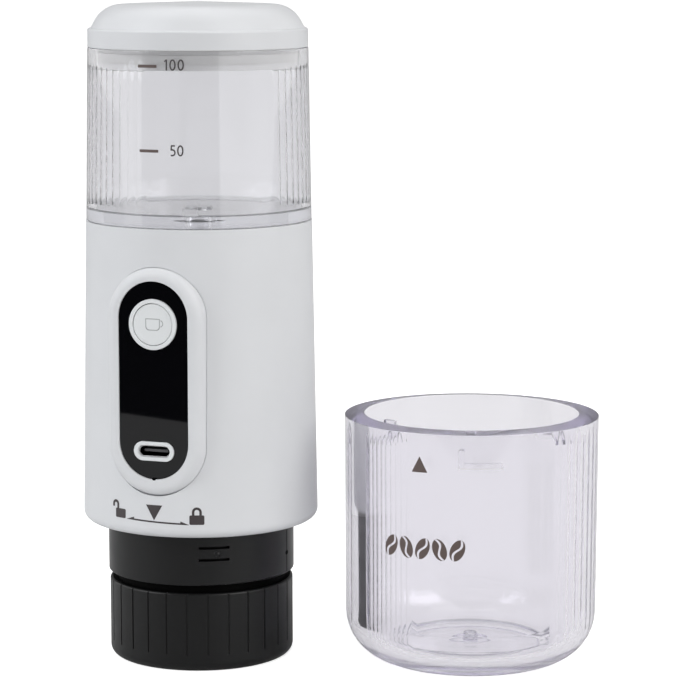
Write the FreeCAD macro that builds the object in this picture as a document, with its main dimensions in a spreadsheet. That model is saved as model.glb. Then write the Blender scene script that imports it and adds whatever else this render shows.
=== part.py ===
"""Portable capsule coffee maker with its cup, as separate pieces in millimetres.

The machine's axis is +Z through the origin, and z = 0 is the table that the knob and the cup stand on.
The front is -Y. Angles round the axis are counted from the front, positive towards +X.
"""
import FreeCAD
import Part
import Sketcher
import math
import os
import re

# Driving dimensions: one plain number each, in millimetres or degrees.
SIZES = {
    # Outline of the machine, from the table up.
    "knob_radius": 24.7,
    "knob_height": 21.3,
    "knob_round": 2.6,
    "knob_edge_chamfer": 0.6,
    "knob_panels": 28,
    "knob_groove_width": 0.5,
    "knob_groove_depth": 0.25,
    "knob_groove_start": 4.6,
    "knob_floor": 3.0,
    "collar_gap": 2.2,
    "collar_radius": 25.0,
    "collar_wall": 2.1,
    "collar_round": 0.3,
    "collar_drop": 13.9,
    "body_foot_radius": 31.6,
    "body_top_radius": 30.1,
    "body_height": 80.6,
    "body_wall": 2.2,
    "body_round": 2.5,
    "tank_foot_radius": 30.0,
    "tank_top_radius": 29.2,
    "tank_height": 45.4,
    "tank_wall": 2.2,
    "tank_floor": 3.2,
    "seam_gap": 0.15,
    "lid_radius": 29.15,
    "lid_band": 5.0,
    "lid_step": 0.85,
    "lid_shoulder": 6.0,
    "lid_lean": 3.3,
    "lid_crown": 1.0,
    "lid_round": 8.0,
    "lid_edge_round": 0.6,
    "lid_wall": 1.8,
    # Clearances.
    "running_gap": 0.05,
    "sliding_gap": 0.15,
    "loose_gap": 0.3,
    # Lid plug and seal.
    "plug_depth": 5.1,
    "plug_wall": 1.6,
    "plug_gap": 0.55,
    "gasket_section": 0.8,
    "gasket_height": 2.4,
    # Tank inside.
    "flute_count": 32,
    "flute_radius": 3.4,
    "flute_bite": 0.13,
    "tank_flute_foot": 1.0,
    "tank_flute_head": 5.5,
    "window_left": -33,
    "window_right": 45,
    "outlet_radius": 2.4,
    "outlet_neck_radius": 4.4,
    "outlet_neck_length": 7.6,
    "filter_radius": 3.6,
    "filter_thickness": 1.0,
    "ring_section": 0.7,
    "key_width": 3.4,
    "key_height": 5.2,
    "key_depth": 1.6,
    "key_angle": -1.8,
    # Deck under the tank.
    "deck_thickness": 3.0,
    "deck_socket_wall": 2.0,
    "deck_socket_depth": 11.0,
    "neck_floor_gap": 0.6,
    # Control panel on the front.
    "panel_angle": -19.5,
    "panel_middle": 78.9,
    "panel_rise": 1.27,
    "bezel_width": 26.4,
    "bezel_height": 59.8,
    "bezel_drop": 0.55,
    "bezel_depth": 4.5,
    "bezel_round": 2.4,
    "bezel_lip": 1.4,
    "bezel_flange": 1.2,
    "bezel_ledge": 1.1,
    "window_width": 19.4,
    "window_height": 51.8,
    "window_sink": 0.4,
    "window_thickness": 1.5,
    "button_inset": 11.2,
    "ring_radius": 6.65,
    "ring_rise": 0.5,
    "cap_radius": 5.4,
    "cap_rise": 0.3,
    "cap_stem": 1.8,
    "cap_skirt": 2.6,
    "button_travel": 0.8,
    "switch_side": 6.0,
    "switch_height": 1.6,
    "socket_inset": 7.4,
    "surround_width": 11.3,
    "surround_height": 5.1,
    "surround_rise": 0.35,
    "shell_width": 8.94,
    "shell_height": 3.16,
    "shell_wall": 0.3,
    "shell_sink": 0.4,
    "shell_length": 7.3,
    "tongue_width": 6.7,
    "tongue_thickness": 0.7,
    "tongue_length": 5.6,
    "board_width": 18.0,
    "board_height": 52.0,
    "board_thickness": 1.6,
    "display_width": 13.0,
    "display_clearance": 2.0,
    # Frame, battery, motor and pump inside the body.
    "frame_wall": 1.8,
    "frame_front": 4.0,
    "shelf_thickness": 2.0,
    "cell_half_gap": 0.5,
    "cell_clearance": 0.25,
    "cell_headroom": 5.35,
    "strap_thickness": 0.7,
    "strap_height": 7.0,
    "motor_radius": 12.0,
    "motor_headroom": 18.0,
    "motor_back": 8.9,
    "shaft_radius": 1.0,
    "gear_teeth": 12,
    "gear_module": 0.9,
    "gear_width": 5.6,
    "gear_slack": 0.1,
    "gear_pin_radius": 1.5,
    "pump_wall": 2.4,
    "pump_lid": 1.8,
    "pump_lift": 1.6,
    "nipple_radius": 2.1,
    "nipple_bore": 1.2,
    "nipple_length": 4.0,
    "tube_radius": 2.9,
    "tube_gap": 0.3,
    "tube_drop": 8.8,
    "tube_fall": 5.0,
    "intake_across": 15.2,
    "delivery_across": 17.0,
    "port_offset": 3.0,
    # Brewing unit: head, needle, seal, basket and the knob's neck.
    "plate_thickness": 2.2,
    "flange_thickness": 2.0,
    "flange_radius": 28.0,
    "head_thickness": 3.0,
    "head_radius": 27.4,
    "head_plug": 2.8,
    "needle_radius": 1.3,
    "needle_tip_radius": 0.2,
    "needle_length": 7.0,
    "seal_inner": 16.6,
    "seal_thickness": 2.0,
    "neck_wall": 2.5,
    "basket_flange": 1.7,
    "capsule_radius": 15.2,
    "capsule_lip_radius": 18.7,
    "capsule_lip_depth": 1.4,
    "basket_bottom": 4.6,
    "basket_floor": 3.0,
    "spout_radius": 6.0,
    "spout_bore": 3.6,
    "spout_tip": 1.4,
    "pierce_thickness": 1.0,
    "pierce_count": 8,
    "pierce_circle": 8.6,
    "pierce_radius": 1.4,
    "pierce_height": 2.2,
    "pierce_tip_radius": 0.3,
    "pierce_hole_radius": 0.7,
    "pierce_hole_circle": 4.3,
    # Spring tongues of the collar.
    "tongue_number": 3,
    "tongue_angle": 10.5,
    "slit_length": 8.2,
    "slit_height": 0.7,
    "slit_low": 6.9,
    "slit_pitch": 3.2,
    "bump_radius": 0.55,
    "bump_angle": 12.2,
    # Screws.
    "screw_count": 3,
    "screw_radius": 1.1,
    "screw_head_radius": 2.0,
    "screw_head_height": 1.3,
    "screw_length": 4.8,
    "screw_circle": 25.0,
    # Cup.
    "cup_across": 72.7,
    "cup_forward": 6.3,
    "cup_rim_radius": 33.9,
    "cup_foot_radius": 33.5,
    "cup_height": 66.8,
    "cup_wall": 5.3,
    "cup_floor": 5.2,
    "cup_outer_round": 13.5,
    "cup_inner_round": 7.2,
    "cup_rim_drop": 1.3,
    "cup_rim_lean": 0.6,
    "cup_rim_round": 0.3,
    "cup_floor_step": 0.3,
    "cup_ring_gap": 0.3,
    "cup_ring_width": 0.8,
    "cup_ring_rise": 0.35,
    "cup_nub_radius": 1.75,
    "cup_nub_height": 2.2,
    "cup_flute_foot": 15.0,
    "cup_flute_head": 3.4,
    "cup_window_right": 43,
    "rib_number": 3,
    "rib_angle": -9.0,
    "rib_sweep": 22.0,
    "rib_thickness": 1.3,
    "rib_top": 5.2,
    "rib_height": 4.7,
    "rib_depth": 2.2,
    "rib_root": 0.5,
    "lock_gap": 0.25,
}

# Levels and sizes that follow from the driving dimensions, each a formula in their names.
# A cutter runs on by "past" beyond the faces that it cuts through.
PLACES = {
    "past": "1",
    "collar_bottom": "knob_height + collar_gap",
    "body_bottom": "collar_bottom + collar_drop",
    "body_top": "body_bottom + body_height",
    "body_taper": "(body_foot_radius - body_top_radius) / body_height",
    "collar_bore": "collar_radius - collar_wall",
    "flange_bottom": "body_bottom + plate_thickness",
    "flange_top": "flange_bottom + flange_thickness",
    "head_top": "flange_top + head_thickness",
    "seal_top": "flange_top - head_plug",
    "seal_bottom": "seal_top - seal_thickness",
    "basket_top": "seal_bottom - running_gap",
    "neck_radius": "collar_bore - sliding_gap",
    "neck_bore": "neck_radius - neck_wall",
    "neck_top": "basket_top - basket_flange - running_gap",
    "basket_radius": "neck_bore - loose_gap",
    "chamber_floor": "basket_bottom + basket_floor",
    "tank_bottom": "body_top + seam_gap",
    "tank_top": "tank_bottom + tank_height",
    "tank_inside": "tank_bottom + tank_floor",
    "tank_taper": "(tank_foot_radius - tank_top_radius) / tank_height",
    "tank_bore_top": "tank_top_radius - tank_wall",
    "tank_bore_foot": "tank_foot_radius - tank_wall",
    "lid_bottom": "tank_top + seam_gap",
    "band_top": "lid_bottom + lid_band",
    "plug_radius": "tank_bore_top - plug_gap",
    "plug_bottom": "tank_top - plug_depth",
    "deck_top": "body_top",
    "deck_bottom": "deck_top - deck_thickness",
    "socket_bore": "outlet_neck_radius + ring_section + running_gap",
    "socket_bottom": "deck_top - deck_socket_depth",
    "bezel_middle": "panel_middle - bezel_drop",
    "panel_front": "body_foot_radius - body_taper * (panel_middle - body_bottom) + panel_rise",
    "panel_back": "panel_front - bezel_depth",
    "window_front": "panel_front - window_sink",
    "window_back": "window_front - window_thickness",
    "button_level": "panel_middle + window_height / 2 - button_inset",
    "socket_level": "panel_middle - window_height / 2 + socket_inset",
    "display_top": "button_level - ring_radius - display_clearance",
    "display_bottom": "socket_level + surround_height / 2 + display_clearance",
    "board_front": "panel_back - bezel_flange",
    "board_back": "board_front - board_thickness",
    "frame_back": "frame_front + frame_wall",
    "body_bore": "body_top_radius - body_wall",
    "frame_width": "2 * sqrt(body_bore^2 - frame_back^2) - 2 * loose_gap",
    "pump_bottom": "head_top + pump_lift",
    "pump_floor": "pump_bottom + pump_lid",
    "gear_bottom": "pump_floor + gear_slack",
    "gear_top": "gear_bottom + gear_width",
    "pump_top": "gear_top + gear_slack + pump_wall",
    "motor_bottom": "pump_top + shelf_thickness",
    "gear_reach": "gear_module * (gear_teeth + 2) / 2",
    "gear_distance": "gear_module * gear_teeth + gear_slack",
    "pump_bore": "gear_reach + running_gap",
    "motor_height": "socket_bottom - motor_bottom - motor_headroom",
    "cell_room": "body_bore - cell_clearance",
    "cell_start": "frame_back + strap_thickness",
    "cell_span": "cell_half_gap + cell_start + cell_room",
    "cell_radius": "sqrt(cell_span^2 + cell_room^2 - cell_half_gap^2 - cell_start^2) - cell_span",
    "cell_spread": "cell_radius + cell_half_gap",
    "cell_back": "cell_start + cell_radius",
    "cell_bottom": "head_top + running_gap",
    "cell_height": "deck_bottom - cell_bottom - cell_headroom",
    "cup_rib_top": "cup_height - rib_top",
    "cup_rib_bottom": "cup_rib_top - rib_height",
    "cup_taper": "(cup_rim_radius - cup_foot_radius) / cup_height",
    "cup_ring_radius": "cup_foot_radius - cup_wall - cup_inner_round - cup_ring_gap",
}

doc = FreeCAD.newDocument("capsule_coffee_maker")
sheet = doc.addObject("Spreadsheet::Sheet", "Sizes")
for row, (alias, number) in enumerate(SIZES.items(), 1):
    sheet.set("A%d" % row, alias)
    sheet.set("B%d" % row, str(number))
    sheet.setAlias("B%d" % row, alias)
doc.recompute()

nodes = []


def spell(formula):
    """Write a formula out in cells of the sheet."""
    def word(match):
        name = match.group(0)
        if name in PLACES:
            return "(" + spell(PLACES[name]) + ")"
        return "Sizes." + name if name in SIZES else name
    return re.sub(r"[a-z][a-z_]*", word, str(formula))


def value(formula):
    """The number that a formula gives now."""
    return float(sheet.evalExpression(spell(formula)))


def bind(item, **formulas):
    """Tie properties to formulas; x, y and z are the item's place."""
    for name, formula in formulas.items():
        path = "Placement.Base." + name if name in ("x", "y", "z") else name
        item.setExpression(path, spell(formula))
    return item


def cylinder(name, radius, height, x=0, y=0, z=0):
    item = doc.addObject("Part::Cylinder", name)
    return bind(item, Radius=radius, Height=height, x=x, y=y, z=z)


def cone(name, low, high, height, x=0, y=0, z=0):
    item = doc.addObject("Part::Cone", name)
    return bind(item, Radius1=low, Radius2=high, Height=height, x=x, y=y, z=z)


def ball(name, radius, x=0, y=0, z=0):
    item = doc.addObject("Part::Sphere", name)
    return bind(item, Radius=radius, x=x, y=y, z=z)


def block(name, width, front, back, low, high, x=0):
    """A block centred on x, from y = -front to y = -back and from z = low to z = high."""
    item = doc.addObject("Part::Box", name)
    return bind(item, Length=width, Width=f"({front}) - ({back})", Height=f"({high}) - ({low})",
                x=f"({x}) - ({width}) / 2", y=f"-({front})", z=low)


def pin_forward(name, radius, front, back, x=0, z=0):
    """A cylinder along the panel's normal, from y = -back to y = -front."""
    item = doc.addObject("Part::Cylinder", name)
    item.Placement.Rotation = FreeCAD.Rotation(FreeCAD.Vector(1, 0, 0), 90)
    return bind(item, Radius=radius, Height=f"({front}) - ({back})", x=x, y=f"-({back})", z=z)


def join(name, *items):
    item = doc.addObject("Part::MultiFuse", name)
    item.Shapes = list(items)
    item.Refine = True
    return item


def cut(name, base, *tools):
    item = doc.addObject("Part::Cut", name)
    item.Base = base
    item.Tool = tools[0] if len(tools) == 1 else join(name + "_tools", *tools)
    item.Refine = True
    return item


def overlap(name, *items):
    item = doc.addObject("Part::MultiCommon", name)
    item.Shapes = list(items)
    return item


def ring(name, outer, inner, height, x=0, y=0, z=0):
    return cut(name, cylinder(name + "_outer", outer, height, x, y, z),
               cylinder(name + "_inner", inner, f"({height}) + 2 * past", x, y, f"({z}) - past"))


def group(name, *items):
    item = doc.addObject("Part::Compound", name)
    item.Links = list(items)
    return item


def obround(name, width, height, front, back, z):
    """A prism with round ends along the panel's normal, upright where it is taller than wide."""
    upright = value(height) > value(width)
    wide, tall = (width, height) if upright else (height, width)
    radius = f"({wide}) / 2"
    offset = f"(({tall}) - ({wide})) / 2"
    if upright:
        core = block(name + "_core", wide, front, back, f"({z}) - {offset}", f"({z}) + {offset}")
        ends = [pin_forward(name + "_upper", radius, front, back, 0, f"({z}) + {offset}"),
                pin_forward(name + "_lower", radius, front, back, 0, f"({z}) - {offset}")]
    else:
        core = block(name + "_core", f"2 * {offset}", front, back, f"({z}) - {radius}", f"({z}) + {radius}")
        ends = [pin_forward(name + "_right", radius, front, back, offset, z),
                pin_forward(name + "_left", radius, front, back, f"-{offset}", z)]
    return join(name, core, *ends)


def lathe(name, corners, rounds=()):
    """A body turned about the axis from corners (radius, height), with some corners rounded."""
    body = doc.addObject("PartDesign::Body", name)
    sketch = body.newObject("Sketcher::SketchObject", name + "_profile")
    plane = [item for item in body.Origin.OriginFeatures if item.Role == "XZ_Plane"][0]
    sketch.AttachmentSupport = [(plane, "")]
    sketch.MapMode = "FlatFace"
    spots = [FreeCAD.Vector(value(radius), value(height), 0) for radius, height in corners]
    count = len(spots)
    for index, spot in enumerate(spots):
        sketch.addGeometry(Part.LineSegment(spot, spots[(index + 1) % count]), False)
    for index in range(count):
        sketch.addConstraint(Sketcher.Constraint("Coincident", index, 2, (index + 1) % count, 1))
    for index, corner in enumerate(corners):
        for kind, formula, number in zip(("DistanceX", "DistanceY"), corner, spots[index]):
            place = sketch.addConstraint(Sketcher.Constraint(kind, -1, 1, index, 1, number))
            sketch.setExpression("Constraints[%d]" % place, spell(formula))
    turned = body.newObject("PartDesign::Revolution", name + "_turned")
    turned.Profile = sketch
    turned.ReferenceAxis = (sketch, ["V_Axis"])
    turned.Angle = 360
    doc.recompute()
    feature = turned
    for number, (corner, radius) in enumerate(rounds):
        spot = spots[corner]
        edges = [f"Edge{place}" for place, edge in enumerate(feature.Shape.Edges, 1)
                 if isinstance(edge.Curve, Part.Circle)
                 and abs(edge.Curve.Radius - spot.x) < 0.01
                 and abs(edge.Curve.Center.z - spot.y) < 0.01]
        fillet = body.newObject("PartDesign::Fillet", f"{name}_round_{number}")
        fillet.Base = (feature, edges)
        fillet.setExpression("Radius", spell(radius))
        doc.recompute()
        feature = fillet
    body.Tip = feature
    return body


def node(label, item, facing=None):
    """Name a finished piece, turned about the axis by an angle where it faces one."""
    if facing is not None:
        item = group(label + "_turned_to_face", item)
        item.Placement.Rotation = FreeCAD.Rotation(FreeCAD.Vector(0, 0, 1), 1)
        item.setExpression("Placement.Rotation.Angle", spell(facing))
    item.Label = label
    nodes.append(item)
    return item


def shape_of(name, shape):
    item = doc.addObject("Part::Feature", name)
    item.Shape = shape
    return item


def polar(radius, angle):
    """The point at a radius and an angle from the front, towards +X."""
    turn = math.radians(angle)
    return radius * math.sin(turn), -radius * math.cos(turn)


def flutes(name, bore_low, bore_high, low, high, left, right):
    """Upright round cutters that bite into a tapered inner wall, except across its plain window."""
    count = int(value("flute_count"))
    pitch = 360 / count
    bore = (value(bore_low) + value(bore_high)) / 2
    height = value(high) - value(low)
    lean = math.degrees(math.atan2(value(bore_high) - value(bore_low), height))
    centre = bore - value("flute_radius") + value("flute_bite")
    cutters = []
    for index in range(count):
        angle = (index + 0.5) * pitch - 180
        if value(left) < angle < value(right):
            continue
        cutter = doc.addObject("Part::Cylinder", f"{name}_{index}")
        bind(cutter, Radius="flute_radius", Height=f"({high}) - ({low})")
        x, y = polar(centre - (value(bore_high) - value(bore_low)) / 2, angle)
        upright = FreeCAD.Rotation(FreeCAD.Vector(0, 0, 1), angle)
        leaning = FreeCAD.Rotation(FreeCAD.Vector(1, 0, 0), lean)
        cutter.Placement = FreeCAD.Placement(FreeCAD.Vector(x, y, value(low)), upright.multiply(leaning))
        cutters.append(cutter)
    return join(name, *cutters)


def round_array(name, piece, count, start):
    """Copies of a piece round the axis, the first at an angle from the front."""
    copies = []
    number = int(value(count))
    doc.recompute()
    for index in range(number):
        turn = FreeCAD.Rotation(FreeCAD.Vector(0, 0, 1), value(start) + 360 * index / number)
        copy = shape_of(f"{name}_{index}", piece.Shape)
        copy.Placement = FreeCAD.Placement(FreeCAD.Vector(), turn).multiply(piece.Placement)
        copies.append(copy)
    return copies


def gear(name, x, y, turn, bore):
    """A spur gear with straight-sided teeth, its axis at (x, y)."""
    teeth = int(value("gear_teeth"))
    pitch_radius = value("gear_module * gear_teeth / 2")
    tip = value("gear_reach")
    root = pitch_radius - 1.2 * value("gear_module")
    pitch = 360 / teeth
    outline = []
    for index in range(teeth):
        for radius, share in ((root, -0.34), (pitch_radius, -0.235), (tip, -0.11),
                              (tip, 0.11), (pitch_radius, 0.235), (root, 0.34)):
            angle = math.radians(turn + (index + share) * pitch)
            outline.append(FreeCAD.Vector(radius * math.cos(angle), radius * math.sin(angle), 0))
    face = Part.Face(Part.makePolygon(outline + outline[:1]))
    wheel = face.extrude(FreeCAD.Vector(0, 0, value("gear_width")))
    wheel = wheel.cut(Part.makeCylinder(bore, value("gear_width")))
    wheel.translate(FreeCAD.Vector(x, y, value("gear_bottom")))
    return shape_of(name, wheel)


def tube(name, points, radius, bore):
    """A hose along straight runs joined by tangent arcs."""
    spots = [FreeCAD.Vector(*point) for point in points]
    edges = []
    start = spots[0]
    for before, corner, after in zip(spots, spots[1:], spots[2:]):
        first = (before - corner).normalize()
        second = (after - corner).normalize()
        reach = 0.45 * min((before - corner).Length, (after - corner).Length)
        entry = corner + first * reach
        leave = corner + second * reach
        half = first.getAngle(second) / 2
        middle = (first + second).normalize()
        bend = reach * math.tan(half)
        crown = corner + middle * (reach / math.cos(half) - bend)
        edges += [Part.LineSegment(start, entry), Part.Arc(entry, crown, leave)]
        start = leave
    edges.append(Part.LineSegment(start, spots[-1]))
    wire = Part.Wire([edge.toShape() for edge in edges])
    heading = (spots[1] - spots[0]).normalize()
    solids = []
    for size in (radius, bore):
        section = Part.Wire([Part.makeCircle(size, spots[0], heading)])
        solids.append(wire.makePipeShell([section], True, False))
    return shape_of(name, solids[0].cut(solids[1]))


def lid():
    """Domed cap, its grey plug and the seal round the plug."""
    shell = lathe("lid_shell_turned", [
        ("0", "band_top + lid_shoulder + lid_crown - lid_wall"),
        ("lid_radius - lid_step - lid_lean - lid_wall", "band_top + lid_shoulder - lid_wall"),
        ("lid_radius - lid_step - lid_wall", "band_top - lid_wall"),
        ("lid_radius - lid_step - lid_wall", "lid_bottom + lid_wall"),
        ("lid_radius - lid_wall", "lid_bottom + lid_wall"),
        ("lid_radius - lid_wall", "lid_bottom"),
        ("lid_radius", "lid_bottom"),
        ("lid_radius", "band_top"),
        ("lid_radius - lid_step", "band_top"),
        ("lid_radius - lid_step - lid_lean", "band_top + lid_shoulder"),
        ("0", "band_top + lid_shoulder + lid_crown"),
    ], [(9, "lid_round"), (1, "lid_round - lid_wall"), (7, "lid_edge_round")])
    node("lid_shell", shell)
    plug = lathe("lid_plug_turned", [
        ("0", "tank_top - plug_wall"),
        ("plug_radius - plug_wall", "tank_top - plug_wall"),
        ("plug_radius - plug_wall", "plug_bottom"),
        ("plug_radius", "plug_bottom"),
        ("plug_radius", "tank_top + seam_gap"),
        ("lid_radius - lid_wall", "tank_top + seam_gap"),
        ("lid_radius - lid_wall", "lid_bottom + lid_wall"),
        ("0", "lid_bottom + lid_wall"),
    ])
    groove = ring("plug_groove", "plug_radius + past", "plug_radius - gasket_section",
                  "gasket_height", z="plug_bottom + plug_wall")
    node("lid_plug", cut("lid_plug_cut", plug, groove))
    lip = ring("lid_gasket_ring", "plug_radius + plug_gap - sliding_gap", "plug_radius - gasket_section",
               "gasket_height", z="plug_bottom + plug_wall")
    node("lid_gasket", lip)


def tank():
    """Clear beaker with a fluted inner wall, its outlet neck, filter and sealing ring."""
    outside = cone("tank_outside", "tank_foot_radius", "tank_top_radius", "tank_height", z="tank_bottom")
    inside_foot = "tank_bore_foot - tank_taper * tank_floor"
    inside = cone("tank_inside_cone", inside_foot, "tank_bore_top", "tank_height - tank_floor",
                  z="tank_inside")
    low = "tank_inside + tank_flute_foot"
    high = "tank_top - tank_flute_head"
    bore_low = "tank_bore_foot - tank_taper * (tank_floor + tank_flute_foot)"
    bore_high = "tank_bore_top + tank_taper * tank_flute_head"
    grooves = flutes("tank_flutes", bore_low, bore_high, low, high, "window_left", "window_right")
    neck = cylinder("outlet_neck", "outlet_neck_radius", "outlet_neck_length",
                    z="tank_bottom - outlet_neck_length")
    drain = cylinder("outlet_drain", "outlet_radius", "outlet_neck_length + tank_floor + 2 * past",
                     z="tank_bottom - outlet_neck_length - past")
    seat = cylinder("filter_seat", "filter_radius", "filter_thickness + past",
                    z="tank_inside - filter_thickness")
    groove = ring("ring_groove", "outlet_neck_radius + past", "outlet_neck_radius - ring_section",
                  "2 * ring_section", z="tank_bottom - outlet_neck_length / 2 - ring_section")
    key = block("tank_key", "key_width", "tank_bore_foot + tank_wall / 2", "tank_bore_foot - key_depth",
                "tank_bottom", "tank_bottom + key_height")
    key.Placement.Rotation = FreeCAD.Rotation(FreeCAD.Vector(0, 0, 1), 1)
    key.setExpression("Placement.Rotation.Angle", spell("key_angle"))
    bind(key, x="-(key_width / 2) * cos(key_angle) + (tank_bore_foot + tank_wall / 2) * sin(key_angle)",
         y="-(key_width / 2) * sin(key_angle) - (tank_bore_foot + tank_wall / 2) * cos(key_angle)")
    cup = cut("tank_hollow", outside, inside, grooves)
    node("water_tank", cut("tank_cut", join("tank_solid", cup, neck, key), drain, seat, groove))
    mesh = cylinder("filter_disc", "filter_radius - running_gap", "filter_thickness",
                    z="tank_inside - filter_thickness")
    node("tank_filter", mesh)
    section = doc.addObject("Part::Torus", "tank_o_ring_torus")
    bind(section, Radius1="outlet_neck_radius", Radius2="ring_section",
         z="tank_bottom - outlet_neck_length / 2")
    node("tank_o_ring", section)


def body():
    """White tapered shell with a bottom plate, and the deck that carries the tank."""
    inner_foot = "body_foot_radius - body_wall - body_taper * plate_thickness"
    shell = lathe("body_shell_turned", [
        ("collar_radius + running_gap", "body_bottom"),
        ("body_foot_radius", "body_bottom"),
        ("body_top_radius", "body_top"),
        ("body_bore", "body_top"),
        (inner_foot, "body_bottom + plate_thickness"),
        ("collar_radius + running_gap", "body_bottom + plate_thickness"),
    ], [(1, "body_round")])
    opening = obround("panel_opening", "bezel_width", "bezel_height", "panel_front + past",
                      "body_top_radius / 2", "bezel_middle")
    opening.Placement.Rotation = FreeCAD.Rotation(FreeCAD.Vector(0, 0, 1), 1)
    opening.setExpression("Placement.Rotation.Angle", spell("panel_angle"))
    node("body_shell", cut("body_shell_cut", shell, opening))
    plate = cone("deck_plate", "body_bore + body_taper * deck_thickness - running_gap",
                 "body_bore - running_gap", "deck_thickness", z="deck_bottom")
    boss = cylinder("deck_boss", "socket_bore + deck_socket_wall", "deck_socket_depth", z="socket_bottom")
    socket = cylinder("deck_socket", "socket_bore", "outlet_neck_length + neck_floor_gap + past",
                      z="deck_top - outlet_neck_length - neck_floor_gap")
    feed = cylinder("deck_feed", "nipple_bore", "deck_socket_depth + nipple_length + 2 * past",
                    z="socket_bottom - nipple_length - past")
    nipple = cylinder("deck_nipple", "nipple_radius", "nipple_length", z="socket_bottom - nipple_length")
    node("body_deck", cut("deck_cut", join("deck_solid", plate, boss, nipple), socket, feed))


def panel():
    """Raised oval bezel with its dark window, button, socket, board and display."""
    face = obround("bezel_face", "bezel_width - 2 * running_gap", "bezel_height - 2 * running_gap",
                   "panel_front", "panel_back - bezel_flange", "bezel_middle")
    rounded = doc.addObject("Part::Fillet", "bezel_rounded")
    doc.recompute()
    rounded.Base = face
    front = -value("panel_front")
    rounded.Edges = [(place, value("bezel_round"), value("bezel_round"))
                     for place, edge in enumerate(face.Shape.Edges, 1)
                     if abs(edge.BoundBox.YMax - front) < 0.01 and edge.BoundBox.YLength < 0.01]
    tail = obround("bezel_tail", "bezel_width + 2 * bezel_lip", "bezel_height + 2 * bezel_lip",
                   "panel_front", "panel_back - bezel_flange", "bezel_middle")
    inside = cone("bezel_inside", "body_foot_radius - body_wall - running_gap", "body_bore - running_gap",
                  "body_height", z="body_bottom")
    flange = overlap("bezel_flange_part", tail, inside)
    hollow = obround("bezel_hollow", "window_width - 2 * bezel_ledge", "window_height - 2 * bezel_ledge",
                     "panel_front + past", "panel_back - bezel_flange - past", "panel_middle")
    recess = obround("bezel_recess", "window_width", "window_height", "panel_front + past", "window_back",
                     "panel_middle")
    bezel = cut("bezel_cut", join("bezel_solid", rounded, flange), hollow, recess)
    node("panel_bezel", bezel, "panel_angle")

    pane = obround("window_pane", "window_width - 2 * running_gap", "window_height - 2 * running_gap",
                   "window_front", "window_back", "panel_middle")
    ring_hole = pin_forward("window_ring_hole", "ring_radius", "panel_front + past", "panel_back",
                            0, "button_level")
    port_hole = obround("window_port_hole", "surround_width", "surround_height", "panel_front + past",
                        "panel_back", "socket_level")
    node("panel_window", cut("window_cut", pane, ring_hole, port_hole), "panel_angle")

    collar = cut("button_ring_cut",
                 pin_forward("button_ring_outer", "ring_radius - running_gap", "window_front + ring_rise",
                             "window_back", 0, "button_level"),
                 pin_forward("button_ring_inner", "cap_radius + sliding_gap", "panel_front + past",
                             "panel_back", 0, "button_level"))
    node("button_ring", collar, "panel_angle")

    head = pin_forward("button_head", "cap_radius", "window_front + cap_rise", "window_front - cap_skirt",
                       0, "button_level")
    stem = pin_forward("button_stem", "cap_stem", "window_front - cap_skirt",
                       "board_front + switch_height + running_gap", 0, "button_level")
    node("button_cap", join("button_cap_solid", head, stem), "panel_angle")
    case = block("switch_case", "switch_side", "board_front + switch_height - button_travel - sliding_gap",
                 "board_front", "button_level - switch_side / 2", "button_level + switch_side / 2")
    node("button_switch", case, "panel_angle")

    surround = obround("surround_outer", "surround_width - 2 * running_gap",
                       "surround_height - 2 * running_gap", "window_front + surround_rise", "window_back",
                       "socket_level")
    mouth = obround("surround_mouth", "shell_width", "shell_height", "panel_front + past", "panel_back",
                    "socket_level")
    node("socket_surround", cut("surround_cut", surround, mouth), "panel_angle")
    shell_back = "window_front - shell_length"
    outer = obround("shell_outer", "shell_width", "shell_height", "window_front - shell_sink", shell_back,
                    "socket_level")
    inner = obround("shell_inner", "shell_width - 2 * shell_wall", "shell_height - 2 * shell_wall",
                    "panel_front + past", shell_back + " + shell_wall", "socket_level")
    node("socket_shell", cut("shell_cut", outer, inner), "panel_angle")
    blade = block("socket_tongue_blade", "tongue_width", shell_back + " + shell_wall + tongue_length",
                  shell_back + " + shell_wall", "socket_level - tongue_thickness / 2",
                  "socket_level + tongue_thickness / 2")
    node("socket_tongue", blade, "panel_angle")

    plate = block("board_plate", "board_width", "board_front", "board_back",
                  "panel_middle - board_height / 2", "panel_middle + board_height / 2")
    half = "(shell_height / 2 + running_gap)"
    notch = block("board_notch", "shell_width + 2 * running_gap", "board_front + past", "board_back - past",
                  "socket_level - " + half, "socket_level + " + half)
    node("control_board", cut("board_cut", plate, notch), "panel_angle")
    glass = block("display_block", "display_width", "window_back - running_gap", "board_front",
                  "display_bottom", "display_top")
    node("display_module", glass, "panel_angle")


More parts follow.
